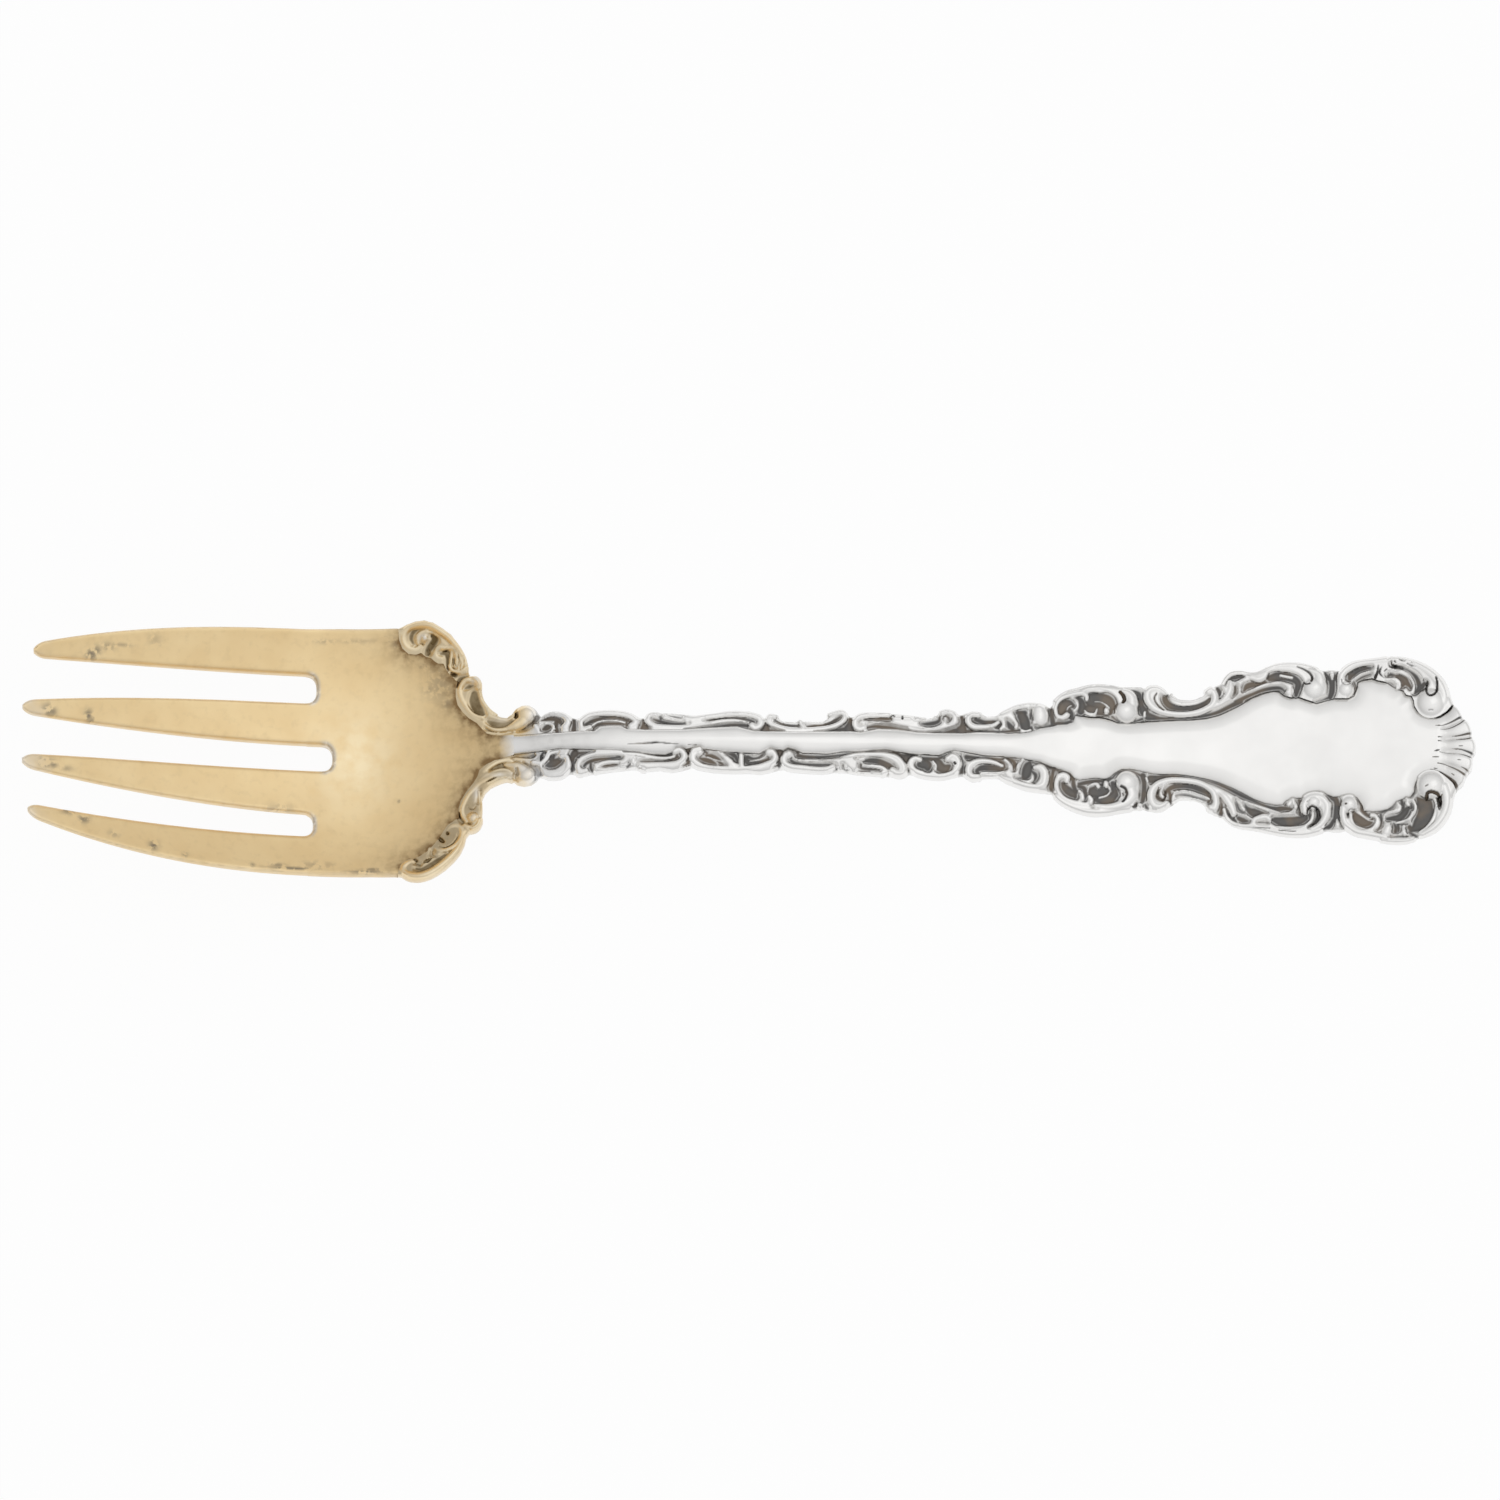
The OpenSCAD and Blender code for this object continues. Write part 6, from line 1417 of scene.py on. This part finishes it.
for side, beads, cuts, cells, low_y, high_y in (
        ("left", left_stem_beads + left_handle_beads, left_handle_cuts,
         left_stem_cells + left_handle_cells, 0.9, 8.9),
        ("right", right_stem_beads + right_handle_beads, right_handle_cuts,
         right_stem_cells + right_handle_cells, -9.1, -0.9)):
    # shade is the share of painted shade below the beads
    handle_border = scroll_work(
        side + "_handle_border_scrolls", grid(knee_x, border_end, scroll_step),
        grid(low_y, high_y, scroll_step), beads, cuts, cells, in_plain_face,
        rise=silver_rise, face=0.85, spread=0.0, shade=0.12, metal=silver)
    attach(handle_border, "root")
    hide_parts(side + "_handle_border",
                *(side + place for place in
                  ("_knee_scrolls", "_waist_scrolls", "_flank_scrolls", "_crest_scrolls")))


# The shell: a small fluted scallop that closes the end of the handle, struck with it. Grooves fan out
# from the panel to its rim, and a deeper one parts it from the bulb on each side.
shell_grooves = [
    ((.05, .14, .22), (62.05, 2), (62.7, 2.25), (63.25, 2.52), (63.72, 2.78)),
    ((.04, .1, .14), (61.85, 1.62), (62.6, 1.72), (63.35, 2.03), (64.05, 2.5)),
    ((.05, .14, .22), (62.9, .98), (63.55, 1.05), (64.05, 1.15), (64.62, 1.28)),
    ((.04, .1, .18), (63.2, .7), (64.05, .73), (64.66, .85)),
    ((.04, .12, .22), (62.85, -.17), (63.5, -.21), (64.05, -.36), (64.76, -.66)),
    ((.04, .08, .12), (63.4, -.6), (64, -.74), (64.66, -1)),
    ((.08, .06, .14, .25), (61.55, -1.45), (62.3, -1.6), (63.2, -2), (63.7, -2.32), (64.08, -2.6)),
    ((.05, .12, .2), (63.65, -1.82), (64, -2), (64.32, -2.22)),
    ((.06, .14, .2, .36, .25), (61.1, 2.68), (61.8, 2.81), (62.35, 3.23), (62.77, 3.71), (63.05, 4.15)),
    ((.05, .14, .2, .3, .5, .42), (61, -2.17), (61.4, -2.15), (61.97, -2.37), (62.5, -2.76), (62.98, -3.3),
     (63.24, -3.78)),
]
shell_ticks = [
    ((.05, .1, .05), (61.4, 2), (62, 2)), ((.1, .04), (61.65, .93), (62.05, .93)),
    ((.1, .04), (61.65, .57), (62, .57)), ((.08,), (63.5, .08), (63.8, .08)),
    ((.06, .18, .1), (61.28, -.36), (61.45, -.32), (61.7, -.26)),
    ((.05,), (61.75, -.44), (62.45, -.54), (63.15, -.6)),
    ((.06, .12, .06), (61.12, -.9), (61.4, -.9), (61.65, -.9)), ((.07,), (63.35, -1.16), (63.6, -1.2)),
    ((.08,), (62.8, -2.4), (63, -2.55)), ((.07,), (61.25, -1.9), (61.5, -1.93)),
]
hollows = [
    ((.02,), (61.9, 1.8), (62.65, 2), (63.3, 2.28), (63.9, 2.65)),
    ((.02,), (62, .75), (63.5, .88), (64.65, 1.07)),
    ((.02,), (61.6, -.35), (63, -.4), (64, -.55), (64.72, -.85)),
    ((.02,), (61.6, -1.5), (62.7, -1.7), (63.6, -2.1), (64.2, -2.4)),
]
groove_lines, hollow_lines = drawn(shell_grooves + shell_ticks, 0.02), drawn(hollows)
bulbs = drawn([left_handle_beads[-2], right_handle_beads[-1]], 0.12)
# How deep, wide and dark the grooves are, and how deep and wide the hollows of the flutes and the valley
# across their start are, with the painted shade laid in each
groove_depth, groove_full, groove_dark = 0.08, 0.04, 0.9
hollow_depth, hollow_w, hollow_painted_shade = 0.2, 0.28, 0.12
valley_x, valley_depth, valley_w, valley_painted_shade = 62.4, 0.12, 0.7, 0.1
rim_round, rim_back_round, rim_bright, rim_bright_w = 0.42, 0.3, 0.35, 0.2


def shell_inside(px, py):
    depth = np.minimum(depth_inside(body, px, py), in_plain_face(px, py))
    return np.minimum(depth, -carved(bulbs, px, py, silver_rise)[1])


def shell_relief(px, py):
    top, under, dark = plain_relief(px, py)
    outer = depth_inside(body, px, py)
    groove = carved(groove_lines, px, py, groove_depth)[0]
    hollow = np.exp(-(carved(hollow_lines, px, py, 1)[1] / hollow_w) ** 2) * ease((px - shell_x) / 1.4)
    valley = np.exp(-((px - valley_x) / valley_w) ** 2) * ease((px - shell_x) / 0.9)
    top = top - hollow_depth * hollow - valley_depth * valley - groove - rounded(outer, rim_round)
    # Painted shade in the hollows of the flutes and in the valley across their start
    shade = dark + hollow_painted_shade * hollow + valley_painted_shade * valley
    bright_rim = rim_bright + (1 - rim_bright) * ease(outer / rim_bright_w)
    dark = np.maximum(shade, groove_dark * ease(groove / groove_full)) * bright_rim
    return top, under + rounded(outer, rim_back_round), dark


shell_end, shell_side_y, shell_step = 65.1, 4.6, 0.04
shell = struck("shell", grid(flute_start, shell_end, shell_step),
               grid(-shell_side_y, shell_side_y, shell_step), shell_inside, shell_relief, silver)
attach(shell, "root")
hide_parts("shell")


# The table, the soft light round it and the camera that looks down on it. The table is a plain white
# sheet that takes a faint shadow, and the light falls off from overhead to the horizon.
sheet_half, sheet_drop, sheet_grey, sheet_white = 1.5, 0.00004, 0.9, 0.94
table_white = bpy.data.materials.new("white sheet")
table_white.use_nodes = True
tree = table_white.node_tree
nodes, link = tree.nodes, tree.links.new
sheet = nodes["Principled BSDF"]
sheet.inputs["Base Color"].default_value = (sheet_grey, sheet_grey, sheet_grey, 1)
sheet.inputs["Roughness"].default_value = 1.0
sheet.inputs["Specular IOR Level"].default_value = 0.0
white = nodes.new("ShaderNodeEmission")
white.inputs["Strength"].default_value = 1.0
rays = nodes.new("ShaderNodeLightPath")
seen = math_node(tree, "ADD", rays.outputs["Is Camera Ray"], rays.outputs["Is Glossy Ray"])
seen_through = math_node(tree, "ADD", seen, rays.outputs["Is Transmission Ray"])
both = nodes.new("ShaderNodeMixShader")
link(math_node(tree, "MULTIPLY", seen_through, sheet_white, clamp=True), both.inputs["Fac"])
link(sheet.outputs[0], both.inputs[1])
link(white.outputs[0], both.inputs[2])
link(both.outputs[0], nodes["Material Output"].inputs["Surface"])
table_mesh = bpy.data.meshes.new("table")
table_mesh.from_pydata([(-sheet_half, -sheet_half, -sheet_drop), (sheet_half, -sheet_half, -sheet_drop),
                        (sheet_half, sheet_half, -sheet_drop), (-sheet_half, sheet_half, -sheet_drop)],
                       [], [(0, 1, 2, 3)])
table_mesh.materials.append(table_white)
table = bpy.data.objects.new("table", table_mesh)
bpy.context.scene.collection.objects.link(table)

# The light of the room at the horizon and overhead, and how much it leans to one end of the fork
room_low, room_high, room_lean = 0.56, 0.93, 0.07
room = bpy.data.worlds.new("soft room")
room.use_nodes = True
bpy.context.scene.world = room
tree = room.node_tree
nodes, link = tree.nodes, tree.links.new
outward = nodes.new("ShaderNodeTexCoord")
height = nodes.new("ShaderNodeSeparateXYZ")
link(outward.outputs["Generated"], height.inputs[0])
fall = ramp_node(tree, height.outputs["Z"], 0.0, 1.0, room_low, room_high)
lean = math_node(tree, "MULTIPLY_ADD", height.outputs["X"], room_lean, fall)
rays = nodes.new("ShaderNodeLightPath")
backdrop = math_node(tree, "MAXIMUM", lean, rays.outputs["Is Camera Ray"])
link(backdrop, nodes["Background"].inputs["Strength"])
nodes["Background"].inputs["Color"].default_value = (1, 1, 1, 1)

box_wide, box_long, box_watts, box_place = 0.3, 0.4, 0.05, (0.25, 0.15, 0.55)
soft_box = bpy.data.lights.new("soft box", "AREA")
soft_box.shape = "RECTANGLE"
soft_box.size, soft_box.size_y = box_wide, box_long
soft_box.energy = box_watts
lamp = bpy.data.objects.new("soft box", soft_box)
lamp.location = box_place
lamp.rotation_euler = (-lamp.location).to_track_quat("-Z", "Y").to_euler()
bpy.context.scene.collection.objects.link(lamp)

# The camera: the width it sees, the place it looks at, how far off it is and how it is tilted and rolled
frame_w, aim, eye_far = 0.1341, Vector((0.0001, 0.00077, 0)), 0.5
tilt, roll = math.radians(12), math.radians(0.58)
view = bpy.data.cameras.new("camera")
view.type = "ORTHO"
view.ortho_scale = frame_w
view.clip_end = 10
eye = bpy.data.objects.new("camera", view)
bpy.context.scene.collection.objects.link(eye)
bpy.context.scene.camera = eye
upward = Vector((0, math.cos(tilt), math.sin(tilt)))
backward = Vector((0, -math.sin(tilt), math.cos(tilt)))
across = Vector((math.cos(roll), 0, 0)) - math.sin(roll) * upward
above = Vector((math.sin(roll), 0, 0)) + math.cos(roll) * upward
turn = Matrix((across, above, backward)).transposed().to_4x4()
eye.matrix_world = Matrix.Translation(aim + backward * eye_far) @ turn
bpy.context.scene.view_settings.view_transform = "Standard"
